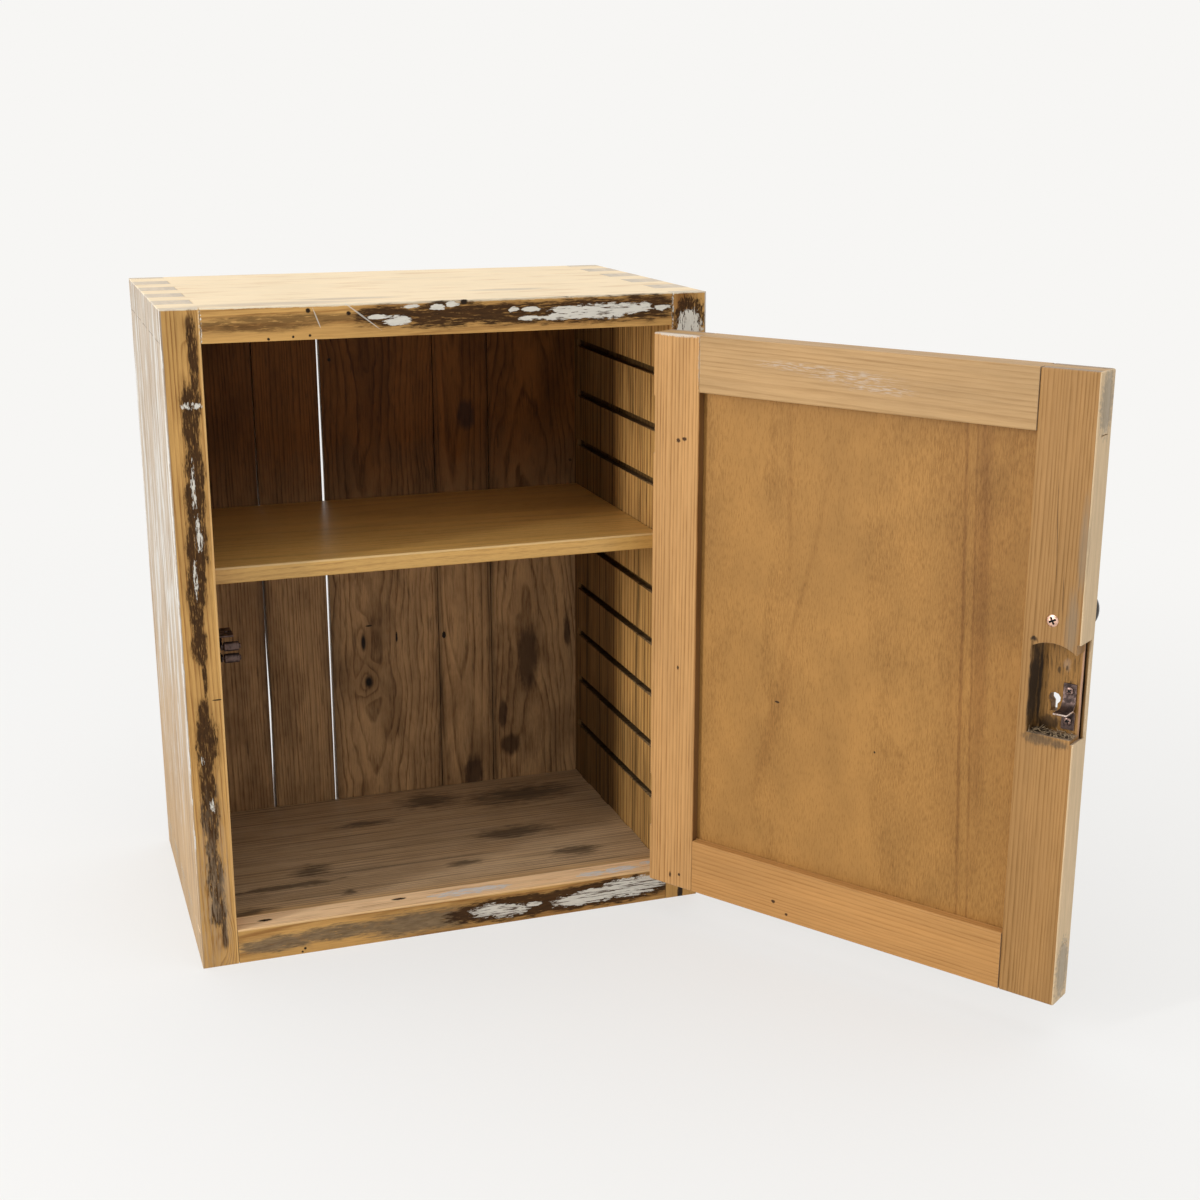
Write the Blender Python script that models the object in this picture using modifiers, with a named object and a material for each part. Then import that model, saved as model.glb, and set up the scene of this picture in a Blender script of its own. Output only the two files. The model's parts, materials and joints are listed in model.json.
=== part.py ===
# Pine medicine cabinet: a dovetailed carcass with a boarded back, one loose shelf in stopped
# grooves, and an inset panelled door on two butt hinges, held shut by a double roller catch.
# Metres, +Z up, front towards -Y. The origin is the middle of the carcass's underside.
# The door stands open, turned about its hinge pins from the closed place that it is drawn in.
import math

import bmesh
import bpy
from mathutils import Matrix, Vector

# Clearances
FIT_GAP = 0.0003           # gap left between pieces that touch
OVERCUT = 0.002            # how far a cutter runs past the face that it opens

# Carcass boards
CABINET_WIDTH = 0.374
CABINET_DEPTH = 0.238
CABINET_HEIGHT = 0.460
SIDE_THICKNESS = 0.025
TOP_THICKNESS = 0.0225
BOTTOM_THICKNESS = 0.0255

# Corner dovetails: tails on the sides, pins on the top and the bottom
TAIL_COUNT = 4
TAIL_WIDTH = 0.025         # a whole tail at the end of the board
END_TAIL_WIDTH = 0.010     # the half tails along the front and back edges
TAIL_SLOPE = 0.14          # how much a flank leans for each unit of its height

# Back boards, in a rebate all round, from the left as seen from the front
BACK_THICKNESS = 0.019
BACK_LAP = 0.010           # how far the rebate reaches into the boards round it
BOARD_1_WIDTH = 0.070
BOARD_2_WIDTH = 0.0505
BOARD_3_WIDTH = 0.090
BOARD_4_WIDTH = 0.045      # the fifth board fills the rest
TIGHT_SEAM = 0.0006
OPEN_SEAM = 0.0022         # the shrunken joint between the second and third boards
FIRST_SEAM_SPREAD = 0.0016  # how much the first joint opens towards the bottom

# Nails of the back boards
NAIL_HEAD_RADIUS = 0.0022
NAIL_HEAD_HEIGHT = 0.0008
NAIL_SHANK_RADIUS = 0.0010
NAIL_LENGTH = 0.034
NAIL_TIP = 0.003
NAIL_SINK = 0.0006         # how far a head lies under the board's face
NAIL_SIDES = 8

# Shelf grooves and shelf
FIRST_GROOVE = 0.047       # middle of the lowest groove above the floor board
GROOVE_PITCH = 0.041
GROOVE_HEIGHT = 0.006
GROOVE_DEPTH = 0.006
GROOVE_BACK_STOP = 0.008   # from the end of a groove to the back boards
SHELF_GROOVE = 6           # the groove in use, counted from the bottom
SHELF_THICKNESS = 0.0115
SHELF_END_GAP = 0.0007     # between the shelf's end and the side
SHELF_DOOR_GAP = 0.0015    # between the shelf at its foremost place and the shut door
SHELF_TRAVEL = 0.006       # how far the shelf slides back until it meets the back boards

# Door frame and panel
DOOR_OPEN_DEGREES = 123.5
DOOR_SIDE_GAP = 0.0022
DOOR_TOP_GAP = 0.002
DOOR_BOTTOM_GAP = 0.002
DOOR_THICKNESS = 0.021
STILE_WIDTH = 0.038
TOP_RAIL_WIDTH = 0.0385
BOTTOM_RAIL_WIDTH = 0.040
TENON_THICKNESS = 0.009
PANEL_THICKNESS = 0.006
PANEL_GROOVE_DEPTH = 0.004
PANEL_EDGE_GAP = 0.0006    # between the panel's edge and the bottom of its groove

# Butt hinges
HINGE_LENGTH = 0.040
HINGE_INSET = 0.064        # from the door's end to the middle of the hinge
HINGE_KNUCKLES = 5
LEAF_THICKNESS = 0.002
LEAF_SPACE = 0.0006        # between the two leaves with the door shut
LEAF_BACKSET = 0.004       # from the leaf's edge to the door's inner face
KNUCKLE_RADIUS = 0.0029
PIN_RADIUS = 0.00135
PIN_STICKS_OUT = 0.0008    # at each end of the knuckles
HINGE_SCREW_SPREAD = 0.012  # each side of the hinge's middle
HINGE_SCREW_HEAD = 0.0027
HINGE_SCREW_HEAD_HEIGHT = 0.0014
HINGE_SCREW_SHANK = 0.0013
HINGE_SCREW_LENGTH = 0.014

# Knob on the outer face
KNOB_FROM_EDGE = 0.0195
KNOB_ABOVE_MIDDLE = 0.0505
KNOB_RADIUS = 0.0155
KNOB_PROJECTION = 0.026
KNOB_FOOT_RADIUS = 0.0085
KNOB_NECK_RADIUS = 0.0062
KNOB_SCREW_HEAD = 0.0040
KNOB_SCREW_HEAD_HEIGHT = 0.0024
KNOB_SCREW_SHANK = 0.0018
KNOB_SCREW_BITE = 0.013    # how far the screw goes into the knob

# Roller catch on the left side and its strike on the door
NIP_BELOW_MIDDLE = 0.0075  # height of the gap between the rollers, from the door's middle
NIP_GAP = 0.0018           # between the two rollers at rest
ROLLER_RADIUS = 0.0033
ROLLER_LENGTH = 0.0105
ROLLER_BACKSET = 0.0125    # from the floor of the lock pocket to the roller's axis
AXLE_RADIUS = 0.0011
AXLE_HEAD_RADIUS = 0.0019
AXLE_HEAD_HEIGHT = 0.0007
ARM_REACH = 0.013          # from an arm's pivot to its roller, along the depth
ARM_SPREAD = 0.0018        # how much further from the nip the pivot lies than the roller
ARM_THICKNESS = 0.0012
ARM_EYE_RADIUS = 0.0023
ARM_STANDOFF = 0.0028      # from the side board to the arm
PIVOT_RADIUS = 0.0012
BRACKET_SHEET = 0.0012
BRACKET_FRONT_MARGIN = 0.0045  # bracket in front of the roller's axis
BRACKET_LENGTH = 0.033
BRACKET_BELOW_NIP = 0.0095
BRACKET_ABOVE_NIP = 0.0132
FLANGE_REACH = 0.0115      # how far the top flange stands out from the side board
FLANGE_LENGTH = 0.020
FLANGE_HOLE_RADIUS = 0.0016
SPRING_SHEET = 0.0005
SPRING_TAIL = 0.0030       # how far the spring's bend lies behind the pivots' eyes
CATCH_SCREW_SPREAD = 0.0055
CATCH_SCREW_FROM_END = 0.0045
STRIKE_SHEET = 0.0006
STRIKE_WIDTH = 0.0085
STRIKE_FROM_EDGE = 0.0096  # from the door's free edge to the strike's middle
STRIKE_ABOVE_NIP = 0.0165
STRIKE_BELOW_NIP = 0.0135
STRIKE_REACH = 0.0155      # how far the tongue stands out from the pocket's floor
STRIKE_ROOT = 0.0042       # where the two layers of the tongue meet
STRIKE_UPPER_SCREW = 0.0120
STRIKE_LOWER_SCREW = 0.0077
SMALL_SCREW_HEAD = 0.0025
SMALL_SCREW_HEAD_HEIGHT = 0.0012
SMALL_SCREW_SHANK = 0.0012
STRIKE_SCREW_LENGTH = 0.0065
CATCH_SCREW_LENGTH = 0.012

# Pocket and keyhole left by a lock that was taken out
POCKET_WALL = 0.008        # wood left in front of the pocket
POCKET_WEB = 0.003         # wood left between the pocket and the panel's groove
POCKET_BELOW_NIP = 0.016
POCKET_CROWN = 0.044       # top of the pocket's arch above the nip
POCKET_ARCH_EXTRA = 0.0073 # arch radius beyond the keyhole's distance from the free edge
FOREND_DEPTH = 0.0025      # shallow rebate of the lock's forend in the free edge
FOREND_ABOVE_NIP = 0.0455
FOREND_BELOW_NIP = 0.0185
FOREND_SLOT_DEPTH = 0.006
FOREND_SLOT_WIDTH = 0.0026
FOREND_SLOT_WALL = 0.0042  # wood in front of the slot
KEYHOLE_FROM_EDGE = 0.0182
KEYHOLE_ABOVE_NIP = 0.006
KEYHOLE_RADIUS = 0.0042
KEYHOLE_SLOT_WIDTH = 0.0044
KEYHOLE_SLOT_DROP = 0.0095

# Facets
ROUND_SIDES = 16
SMALL_SIDES = 12
ARC_STEPS = 8

# Places that follow from the sizes above
HALF_WIDTH = CABINET_WIDTH / 2
FRONT = -CABINET_DEPTH / 2
BACK = CABINET_DEPTH / 2
INNER_X = HALF_WIDTH - SIDE_THICKNESS
FLOOR_Z = BOTTOM_THICKNESS
CEILING_Z = CABINET_HEIGHT - TOP_THICKNESS
BACK_FACE = BACK - BACK_THICKNESS

DOOR_LEFT = -INNER_X + DOOR_SIDE_GAP
DOOR_RIGHT = INNER_X - DOOR_SIDE_GAP
DOOR_BOTTOM = FLOOR_Z + DOOR_BOTTOM_GAP
DOOR_TOP = CEILING_Z - DOOR_TOP_GAP
DOOR_MIDDLE = (DOOR_BOTTOM + DOOR_TOP) / 2
DOOR_INSIDE = FRONT + DOOR_THICKNESS
DOOR_CORE = FRONT + DOOR_THICKNESS / 2

AXIS_X = INNER_X - DOOR_SIDE_GAP / 2
AXIS_Y = FRONT - KNUCKLE_RADIUS - FIT_GAP
HINGE_HEIGHTS = {"lower": DOOR_BOTTOM + HINGE_INSET, "upper": DOOR_TOP - HINGE_INSET}
LEAF_WIDTH = DOOR_THICKNESS - LEAF_BACKSET

NIP_Z = DOOR_MIDDLE - NIP_BELOW_MIDDLE
POCKET_FLOOR = FRONT + POCKET_WALL
ROLLER_Y = POCKET_FLOOR + ROLLER_BACKSET
ROLLER_RISE = NIP_GAP / 2 + ROLLER_RADIUS
PIVOT_Y = ROLLER_Y + ARM_REACH
PIVOT_RISE = ROLLER_RISE + ARM_SPREAD
CATCH_WALL = -INNER_X
ARM_X = CATCH_WALL + ARM_STANDOFF
ROLLER_X = ARM_X + ARM_THICKNESS + FIT_GAP
STRIKE_X = DOOR_LEFT + STRIKE_FROM_EDGE

# How an outline's own X and Y lie in space
FACING_X = Matrix(((0, 0, 1, 0), (1, 0, 0, 0), (0, 1, 0, 0), (0, 0, 0, 1)))   # along Y and Z
FACING_Y = Matrix(((1, 0, 0, 0), (0, 0, -1, 0), (0, 1, 0, 0), (0, 0, 0, 1)))  # along X and Z

WELD = 0.000001
SMOOTH_ANGLE = math.radians(35)


def clear_scene():
    for item in list(bpy.data.objects):
        bpy.data.objects.remove(item, do_unlink=True)


def new_collection(name):
    collection = bpy.data.collections.new(name)
    bpy.context.scene.collection.children.link(collection)
    return collection


def new_material(name, colour, roughness, metallic=0.0):
    material = bpy.data.materials.new(name)
    material.use_nodes = True
    shader = material.node_tree.nodes["Principled BSDF"]
    shader.inputs["Base Color"].default_value = (*colour, 1.0)
    shader.inputs["Roughness"].default_value = roughness
    shader.inputs["Metallic"].default_value = metallic
    return material


clear_scene()
PARTS = new_collection("medicine_cabinet")
CUTTERS = new_collection("cutters")
WOOD_COLOURS = {
    "sides": (0.52, 0.30, 0.12),
    "ends": (0.60, 0.38, 0.17),
    "back": (0.14, 0.075, 0.03),
    "shelf": (0.42, 0.24, 0.08),
    "door": (0.56, 0.31, 0.12),
    "panel": (0.36, 0.18, 0.06),
}
METALS = {
    "hinge": ((0.10, 0.11, 0.13), 0.45),
    "bronze": ((0.09, 0.065, 0.05), 0.40),
    "copper": ((0.55, 0.30, 0.18), 0.35),
    "iron": ((0.12, 0.09, 0.07), 0.65),
}
WOODS = {name: new_material(f"pine_{name}", colour, 0.6) for name, colour in WOOD_COLOURS.items()}
STEELS = {
    name: new_material(f"{name}_metal", colour, rough, 1.0) for name, (colour, rough) in METALS.items()
}
KNOB_BLACK = new_material("knob_black", (0.02, 0.017, 0.015), 0.4)


# Shapes

def box_shape(*spans):
    shape = bmesh.new()
    for low, high in spans:
        low, high = Vector(low), Vector(high)
        size = Matrix.Diagonal((*(high - low), 1.0))
        bmesh.ops.create_cube(shape, size=1.0, matrix=Matrix.Translation((low + high) / 2) @ size)
    return shape


def rod_shape(*rods, sides=SMALL_SIDES):
    shape = bmesh.new()
    for start, end, radius in rods:
        start, end = Vector(start), Vector(end)
        turn = (end - start).to_track_quat("Z", "Y").to_matrix().to_4x4()
        bmesh.ops.create_cone(
            shape, cap_ends=True, segments=sides, radius1=radius, radius2=radius,
            depth=(end - start).length, matrix=Matrix.Translation((start + end) / 2) @ turn)
    return shape


def evaluated_shape(item):
    bpy.context.scene.collection.objects.link(item)
    graph = bpy.context.evaluated_depsgraph_get()
    mesh = bpy.data.meshes.new_from_object(item.evaluated_get(graph))
    bpy.data.objects.remove(item, do_unlink=True)
    shape = bmesh.new()
    shape.from_mesh(mesh)
    bpy.data.meshes.remove(mesh)
    bmesh.ops.remove_doubles(shape, verts=shape.verts, dist=WELD)
    bmesh.ops.recalc_face_normals(shape, faces=shape.faces)
    return shape


def plate_shape(outline, thickness, place):
    curve = bpy.data.curves.new("outline", "CURVE")
    curve.dimensions = "2D"
    curve.fill_mode = "BOTH"
    curve.extrude = thickness / 2
    spline = curve.splines.new("POLY")
    spline.points.add(len(outline) - 1)
    for point, (across, up) in zip(spline.points, outline):
        point.co = (across, up, 0.0, 1.0)
    spline.use_cyclic_u = True
    shape = evaluated_shape(bpy.data.objects.new("outline", curve))
    bmesh.ops.transform(shape, matrix=place, verts=shape.verts)
    return shape


def plate_along_x(outline, low_x, high_x):
    place = Matrix.Translation(((low_x + high_x) / 2, 0, 0)) @ FACING_X
    return plate_shape(outline, high_x - low_x, place)


def plate_along_y(outline, low_y, high_y):
    place = Matrix.Translation((0, (low_y + high_y) / 2, 0)) @ FACING_Y
    return plate_shape(outline, high_y - low_y, place)


def turned_shape(profile, sides):
    mesh = bpy.data.meshes.new("profile")
    points = [(radius, 0.0, height) for radius, height in profile]
    mesh.from_pydata(points, [(i, i + 1) for i in range(len(points) - 1)], [])
    item = bpy.data.objects.new("profile", mesh)
    screw = item.modifiers.new("turn", "SCREW")
    screw.axis = "Z"
    screw.angle = math.tau
    screw.steps = sides
    screw.render_steps = sides
    screw.use_merge_vertices = True
    screw.merge_threshold = WELD
    return evaluated_shape(item)


def arc(centre, radius, start_degrees, end_degrees):
    step = (end_degrees - start_degrees) / ARC_STEPS
    angles = [math.radians(start_degrees + i * step) for i in range(ARC_STEPS + 1)]
    return [(centre[0] + radius * math.cos(a), centre[1] + radius * math.sin(a)) for a in angles]


def together(shapes):
    whole = bmesh.new()
    mesh = bpy.data.meshes.new("together")
    for shape in shapes:
        shape.to_mesh(mesh)
        whole.from_mesh(mesh)
        shape.free()
    bpy.data.meshes.remove(mesh)
    return whole


def copies(shape, places):
    placed = []
    for place in places:
        copy = shape.copy()
        bmesh.ops.transform(copy, matrix=place, verts=copy.verts)
        placed.append(copy)
    shape.free()
    return together(placed)


def driven_in(point, direction):
    turn = (-Vector(direction)).to_track_quat("Z", "Y").to_matrix().to_4x4()
    return Matrix.Translation(point) @ turn


# Objects

def add_object(name, shape, collection, carrier):
    mesh = bpy.data.meshes.new(name)
    shape.to_mesh(mesh)
    shape.free()
    corners = [vertex.co for vertex in mesh.vertices]
    centre = Vector([(min(axis) + max(axis)) / 2 for axis in zip(*corners)])
    mesh.transform(Matrix.Translation(-centre))
    mesh.shade_smooth()
    mesh.set_sharp_from_angle(angle=SMOOTH_ANGLE)
    item = bpy.data.objects.new(name, mesh)
    item.location = centre
    if carrier:
        item.parent = carrier
        item.location = centre - carrier.location
    collection.objects.link(item)
    return item


def add_piece(name, shape, material, carrier=None):
    piece = add_object(name, shape, PARTS, carrier)
    piece.data.materials.append(material)
    return piece


def add_fasteners(shape, places, material, carrier=None):
    # One mesh for all of them: places gives each one's name and where its head sits.
    mesh = bpy.data.meshes.new("fastener")
    shape.to_mesh(mesh)
    shape.free()
    mesh.shade_smooth()
    mesh.set_sharp_from_angle(angle=SMOOTH_ANGLE)
    mesh.materials.append(material)
    for name, place in places.items():
        item = bpy.data.objects.new(name, mesh)
        item.matrix_basis = place
        if carrier:
            item.parent = carrier
            item.matrix_basis = Matrix.Translation(-carrier.location) @ place
        PARTS.objects.link(item)


def combine(piece, shape, operation):
    name = f"{piece.name}_{operation.lower()}_{len(piece.modifiers) + 1}"
    tool = add_object(name, shape, CUTTERS, piece.parent)
    tool.hide_render = True
    tool.display_type = "WIRE"
    modifier = piece.modifiers.new(name, "BOOLEAN")
    modifier.operation = operation
    modifier.solver = "EXACT"
    modifier.object = tool


def cut(piece, shape):
    combine(piece, shape, "DIFFERENCE")


def join(piece, shape):
    combine(piece, shape, "UNION")


def add_carrier(name, point, turn_degrees=0.0):
    carrier = bpy.data.objects.new(name, None)
    carrier.location = point
    carrier.rotation_euler.z = math.radians(turn_degrees)
    CUTTERS.objects.link(carrier)
    return carrier


# Fasteners: each profile runs from the middle of the head, outside and down to the tip

def countersunk_profile(head, head_height, shank, length):
    return [(0, 0), (head, 0), (shank, -head_height), (shank, -length + head), (0, -length)]


def countersunk_hole(head, head_height, shank, length):
    return [(0, OVERCUT), (head + FIT_GAP, OVERCUT), (head + FIT_GAP, 0),
            (shank + FIT_GAP, -head_height), (shank + FIT_GAP, -length - FIT_GAP), (0, -length - FIT_GAP)]


def pan_profile(head, head_height, shank, length):
    shoulder = head_height / 3
    dome = [(head * math.cos(a), shoulder + (head_height - shoulder) * math.sin(a))
            for a in (math.radians(90), math.radians(60), math.radians(30), 0)]
    return dome + [(head, 0), (shank, 0), (shank, -length + head), (0, -length)]


def pilot_hole(shank, length):
    radius, bottom = shank + FIT_GAP, -length - FIT_GAP
    return [(0, OVERCUT), (radius, OVERCUT), (radius, bottom), (0, bottom)]


def nail_profile():
    head_top = -NAIL_SINK
    seat = head_top - NAIL_HEAD_HEIGHT
    head, shank = NAIL_HEAD_RADIUS, NAIL_SHANK_RADIUS
    return [(0, head_top), (head, head_top), (head, seat), (shank, seat),
            (shank, -NAIL_LENGTH + NAIL_TIP), (0, -NAIL_LENGTH)]


def nail_hole():
    seat = -NAIL_SINK - NAIL_HEAD_HEIGHT - FIT_GAP
    head = NAIL_HEAD_RADIUS + FIT_GAP
    shank = NAIL_SHANK_RADIUS + FIT_GAP
    bottom = -NAIL_LENGTH - FIT_GAP
    return [(0, OVERCUT), (head, OVERCUT), (head, seat), (shank, seat), (shank, bottom), (0, bottom)]


# Carcass

def tail_spans():
    pin_room = CABINET_DEPTH - 2 * END_TAIL_WIDTH - TAIL_COUNT * TAIL_WIDTH
    pin_width = pin_room / (TAIL_COUNT + 1)
    spans = [(FRONT, FRONT + END_TAIL_WIDTH)]
    for index in range(TAIL_COUNT):
        start = FRONT + END_TAIL_WIDTH + pin_width + index * (TAIL_WIDTH + pin_width)
        spans.append((start, start + TAIL_WIDTH))
    spans.append((BACK - END_TAIL_WIDTH, BACK))
    return spans


def joint_prism(edges, end, depths, low_x, high_x):
    # Edges are the places of the front and back flanks at the board's end, with their lean for each depth.
    outline = []
    for depth, order in zip(depths, (1, -1)):
        z = CABINET_HEIGHT - depth if end == "top" else depth
        outline += [(y + lean * depth, z) for y, lean in edges][::order]
    return plate_along_x(outline, low_x, high_x)


def tail_sockets(end, thickness, way):
    low_x, high_x = sorted((way * (HALF_WIDTH + OVERCUT), way * (INNER_X - FIT_GAP)))
    sockets = []
    for front, back in tail_spans():
        front_edge = (front - OVERCUT, 0.0) if front == FRONT else (front - FIT_GAP, TAIL_SLOPE)
        back_edge = (back + OVERCUT, 0.0) if back == BACK else (back + FIT_GAP, -TAIL_SLOPE)
        depths = (-OVERCUT, thickness + OVERCUT)
        sockets.append(joint_prism((front_edge, back_edge), end, depths, low_x, high_x))
    return together(sockets)


def pin_sockets(end, thickness, low_x, high_x):
    spans = tail_spans()
    sockets = []
    for (_, pin_front), (pin_back, _) in zip(spans, spans[1:]):
        edges = ((pin_front, -TAIL_SLOPE), (pin_back, TAIL_SLOPE))
        depths = (-OVERCUT, thickness + FIT_GAP)
        sockets.append(joint_prism(edges, end, depths, low_x - OVERCUT, high_x + OVERCUT))
    return together(sockets)


def back_rebate():
    reach = INNER_X + BACK_LAP
    low = (-reach, BACK_FACE - FIT_GAP, FLOOR_Z - BACK_LAP)
    high = (reach, BACK + OVERCUT, CEILING_Z + BACK_LAP)
    return box_shape((low, high))


def groove_heights():
    room = CEILING_Z - FLOOR_Z - FIRST_GROOVE - GROOVE_HEIGHT
    return [FLOOR_Z + FIRST_GROOVE + i * GROOVE_PITCH for i in range(int(room / GROOVE_PITCH) + 1)]


GROOVE_FRONT = DOOR_INSIDE + SHELF_DOOR_GAP - FIT_GAP
GROOVE_BACK = BACK_FACE - GROOVE_BACK_STOP
SHELF_Z = groove_heights()[min(SHELF_GROOVE, len(groove_heights())) - 1]


def add_side(name, way):
    low_x, high_x = sorted((way * HALF_WIDTH, way * INNER_X))
    board = box_shape(((low_x, FRONT, 0.0), (high_x, BACK, CABINET_HEIGHT)))
    side = add_piece(name, board, WOODS["sides"])
    cut(side, pin_sockets("top", TOP_THICKNESS, low_x, high_x))
    cut(side, pin_sockets("bottom", BOTTOM_THICKNESS, low_x, high_x))
    cut(side, back_rebate())
    low_x, high_x = sorted((way * (INNER_X - OVERCUT), way * (INNER_X + GROOVE_DEPTH)))
    half = GROOVE_HEIGHT / 2
    grooves = [((low_x, GROOVE_FRONT, z - half), (high_x, GROOVE_BACK, z + half)) for z in groove_heights()]
    cut(side, box_shape(*grooves))
    return side


def add_end_board(name, end, low_z, high_z):
    shape = box_shape(((-HALF_WIDTH, FRONT, low_z), (HALF_WIDTH, BACK, high_z)))
    board = add_piece(name, shape, WOODS["ends"])
    for way in (-1, 1):
        cut(board, tail_sockets(end, high_z - low_z, way))
    cut(board, back_rebate())
    return board


def back_board_spans():
    left = -INNER_X - BACK_LAP + FIT_GAP
    right = INNER_X + BACK_LAP - FIT_GAP
    widths = (BOARD_1_WIDTH, BOARD_2_WIDTH, BOARD_3_WIDTH, BOARD_4_WIDTH)
    seams = (TIGHT_SEAM, OPEN_SEAM, TIGHT_SEAM, TIGHT_SEAM)
    spans = []
    for width, seam in zip(widths, seams):
        spans.append((left, left + width))
        left += width + seam
    return spans + [(left, right)]


def nail_places(number, span):
    # One nail through each end of a board, into the bottom and the top, midway between its seen edges.
    x = (max(span[0], -INNER_X) + min(span[1], INNER_X)) / 2
    ends = {"bottom": FLOOR_Z - BACK_LAP / 2, "top": CEILING_Z + BACK_LAP / 2}
    return {f"back_nail_{number}_{end}": driven_in((x, BACK, z), (0, -1, 0)) for end, z in ends.items()}


def add_back(top_board, bottom_board):
    bottom = FLOOR_Z - BACK_LAP + FIT_GAP
    top = CEILING_Z + BACK_LAP - FIT_GAP
    nails = {}
    for number, span in enumerate(back_board_spans(), start=1):
        spread = FIRST_SEAM_SPREAD if number == 2 else 0.0
        outline = [(span[0] + spread, bottom), (span[1], bottom), (span[1], top), (span[0], top)]
        board = add_piece(f"back_board_{number}", plate_along_y(outline, BACK_FACE, BACK), WOODS["back"])
        places = nail_places(number, span)
        cut(board, copies(turned_shape(nail_hole(), NAIL_SIDES), places.values()))
        nails.update(places)
    for board, end in ((top_board, "top"), (bottom_board, "bottom")):
        places = [place for name, place in nails.items() if name.endswith(end)]
        cut(board, copies(turned_shape(nail_hole(), NAIL_SIDES), places))
    add_fasteners(turned_shape(nail_profile(), NAIL_SIDES), nails, STEELS["iron"])


def add_shelf():
    body = INNER_X - SHELF_END_GAP
    tongue = INNER_X + GROOVE_DEPTH - SHELF_END_GAP
    half = SHELF_THICKNESS / 2
    thin = GROOVE_HEIGHT / 2 - FIT_GAP
    front = GROOVE_FRONT + FIT_GAP
    back = BACK_FACE - SHELF_TRAVEL - FIT_GAP
    tongue_back = GROOVE_BACK - SHELF_TRAVEL - FIT_GAP
    board = box_shape(((-body, front, SHELF_Z - half), (body, back, SHELF_Z + half)))
    shelf = add_piece("shelf", board, WOODS["shelf"])
    tongues = ((-tongue, front + FIT_GAP, SHELF_Z - thin), (tongue, tongue_back, SHELF_Z + thin))
    join(shelf, box_shape(tongues))


# Door, drawn shut

def add_stile(name, low_x, high_x, groove_x, carrier):
    board = box_shape(((low_x, FRONT, DOOR_BOTTOM), (high_x, DOOR_INSIDE, DOOR_TOP)))
    stile = add_piece(name, board, WOODS["door"], carrier)
    slot = TENON_THICKNESS / 2 + FIT_GAP
    slot_low = (low_x - OVERCUT, DOOR_CORE - slot)
    slot_high = (high_x + OVERCUT, DOOR_CORE + slot)
    cut(stile, box_shape(
        ((*slot_low, DOOR_BOTTOM - OVERCUT), (*slot_high, DOOR_BOTTOM + BOTTOM_RAIL_WIDTH + FIT_GAP)),
        ((*slot_low, DOOR_TOP - TOP_RAIL_WIDTH - FIT_GAP), (*slot_high, DOOR_TOP + OVERCUT))))
    groove = PANEL_THICKNESS / 2 + FIT_GAP
    cut(stile, box_shape((
        (groove_x[0], DOOR_CORE - groove, DOOR_BOTTOM + BOTTOM_RAIL_WIDTH),
        (groove_x[1], DOOR_CORE + groove, DOOR_TOP - TOP_RAIL_WIDTH))))
    return stile


def add_rail(name, low_z, high_z, groove_z, carrier):
    board = box_shape(((DOOR_LEFT, FRONT, low_z), (DOOR_RIGHT, DOOR_INSIDE, high_z)))
    rail = add_piece(name, board, WOODS["door"], carrier)
    tenon = TENON_THICKNESS / 2
    inner_left = DOOR_LEFT + STILE_WIDTH + FIT_GAP
    inner_right = DOOR_RIGHT - STILE_WIDTH - FIT_GAP
    cheeks = []
    for low_x, high_x in ((DOOR_LEFT - OVERCUT, inner_left), (inner_right, DOOR_RIGHT + OVERCUT)):
        outer = (FRONT - OVERCUT, DOOR_CORE - tenon)
        inner = (DOOR_CORE + tenon, DOOR_INSIDE + OVERCUT)
        for low_y, high_y in (outer, inner):
            cheeks.append(((low_x, low_y, low_z - OVERCUT), (high_x, high_y, high_z + OVERCUT)))
    cut(rail, box_shape(*cheeks))
    groove = PANEL_THICKNESS / 2 + FIT_GAP
    reach = STILE_WIDTH - PANEL_GROOVE_DEPTH
    low = (DOOR_LEFT + reach, DOOR_CORE - groove, groove_z[0])
    high = (DOOR_RIGHT - reach, DOOR_CORE + groove, groove_z[1])
    cut(rail, box_shape((low, high)))
    return rail


def add_panel(carrier):
    tuck = PANEL_GROOVE_DEPTH - PANEL_EDGE_GAP
    half = PANEL_THICKNESS / 2
    low = (DOOR_LEFT + STILE_WIDTH - tuck, DOOR_CORE - half, DOOR_BOTTOM + BOTTOM_RAIL_WIDTH - tuck)
    high = (DOOR_RIGHT - STILE_WIDTH + tuck, DOOR_CORE + half, DOOR_TOP - TOP_RAIL_WIDTH + tuck)
    add_piece("door_panel", box_shape((low, high)), WOODS["panel"], carrier)


def cut_lock_pocket(stile):
    mouth = DOOR_LEFT - OVERCUT
    wall = DOOR_LEFT + STILE_WIDTH - PANEL_GROOVE_DEPTH - POCKET_WEB
    floor_z = NIP_Z - POCKET_BELOW_NIP
    middle = DOOR_LEFT + KEYHOLE_FROM_EDGE
    radius = KEYHOLE_FROM_EDGE + POCKET_ARCH_EXTRA
    centre = (middle, NIP_Z + POCKET_CROWN - radius)
    spread = [max(-1.0, min(1.0, (x - middle) / radius)) for x in (wall, mouth)]
    outline = [(mouth, floor_z), (wall, floor_z)]
    outline += arc(centre, radius, *[math.degrees(math.acos(ratio)) for ratio in spread])
    cut(stile, plate_along_y(outline, POCKET_FLOOR, DOOR_INSIDE + OVERCUT))
    slot_front = FRONT + FOREND_SLOT_WALL
    slot_back = slot_front + FOREND_SLOT_WIDTH
    low_z, high_z = NIP_Z - FOREND_BELOW_NIP, NIP_Z + FOREND_ABOVE_NIP
    rebate = ((mouth, slot_front, low_z), (DOOR_LEFT + FOREND_DEPTH, DOOR_INSIDE + OVERCUT, high_z))
    slot = ((mouth - OVERCUT, slot_front, low_z), (DOOR_LEFT + FOREND_SLOT_DEPTH, slot_back, high_z))
    cut(stile, box_shape(rebate))
    cut(stile, box_shape(slot))


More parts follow.
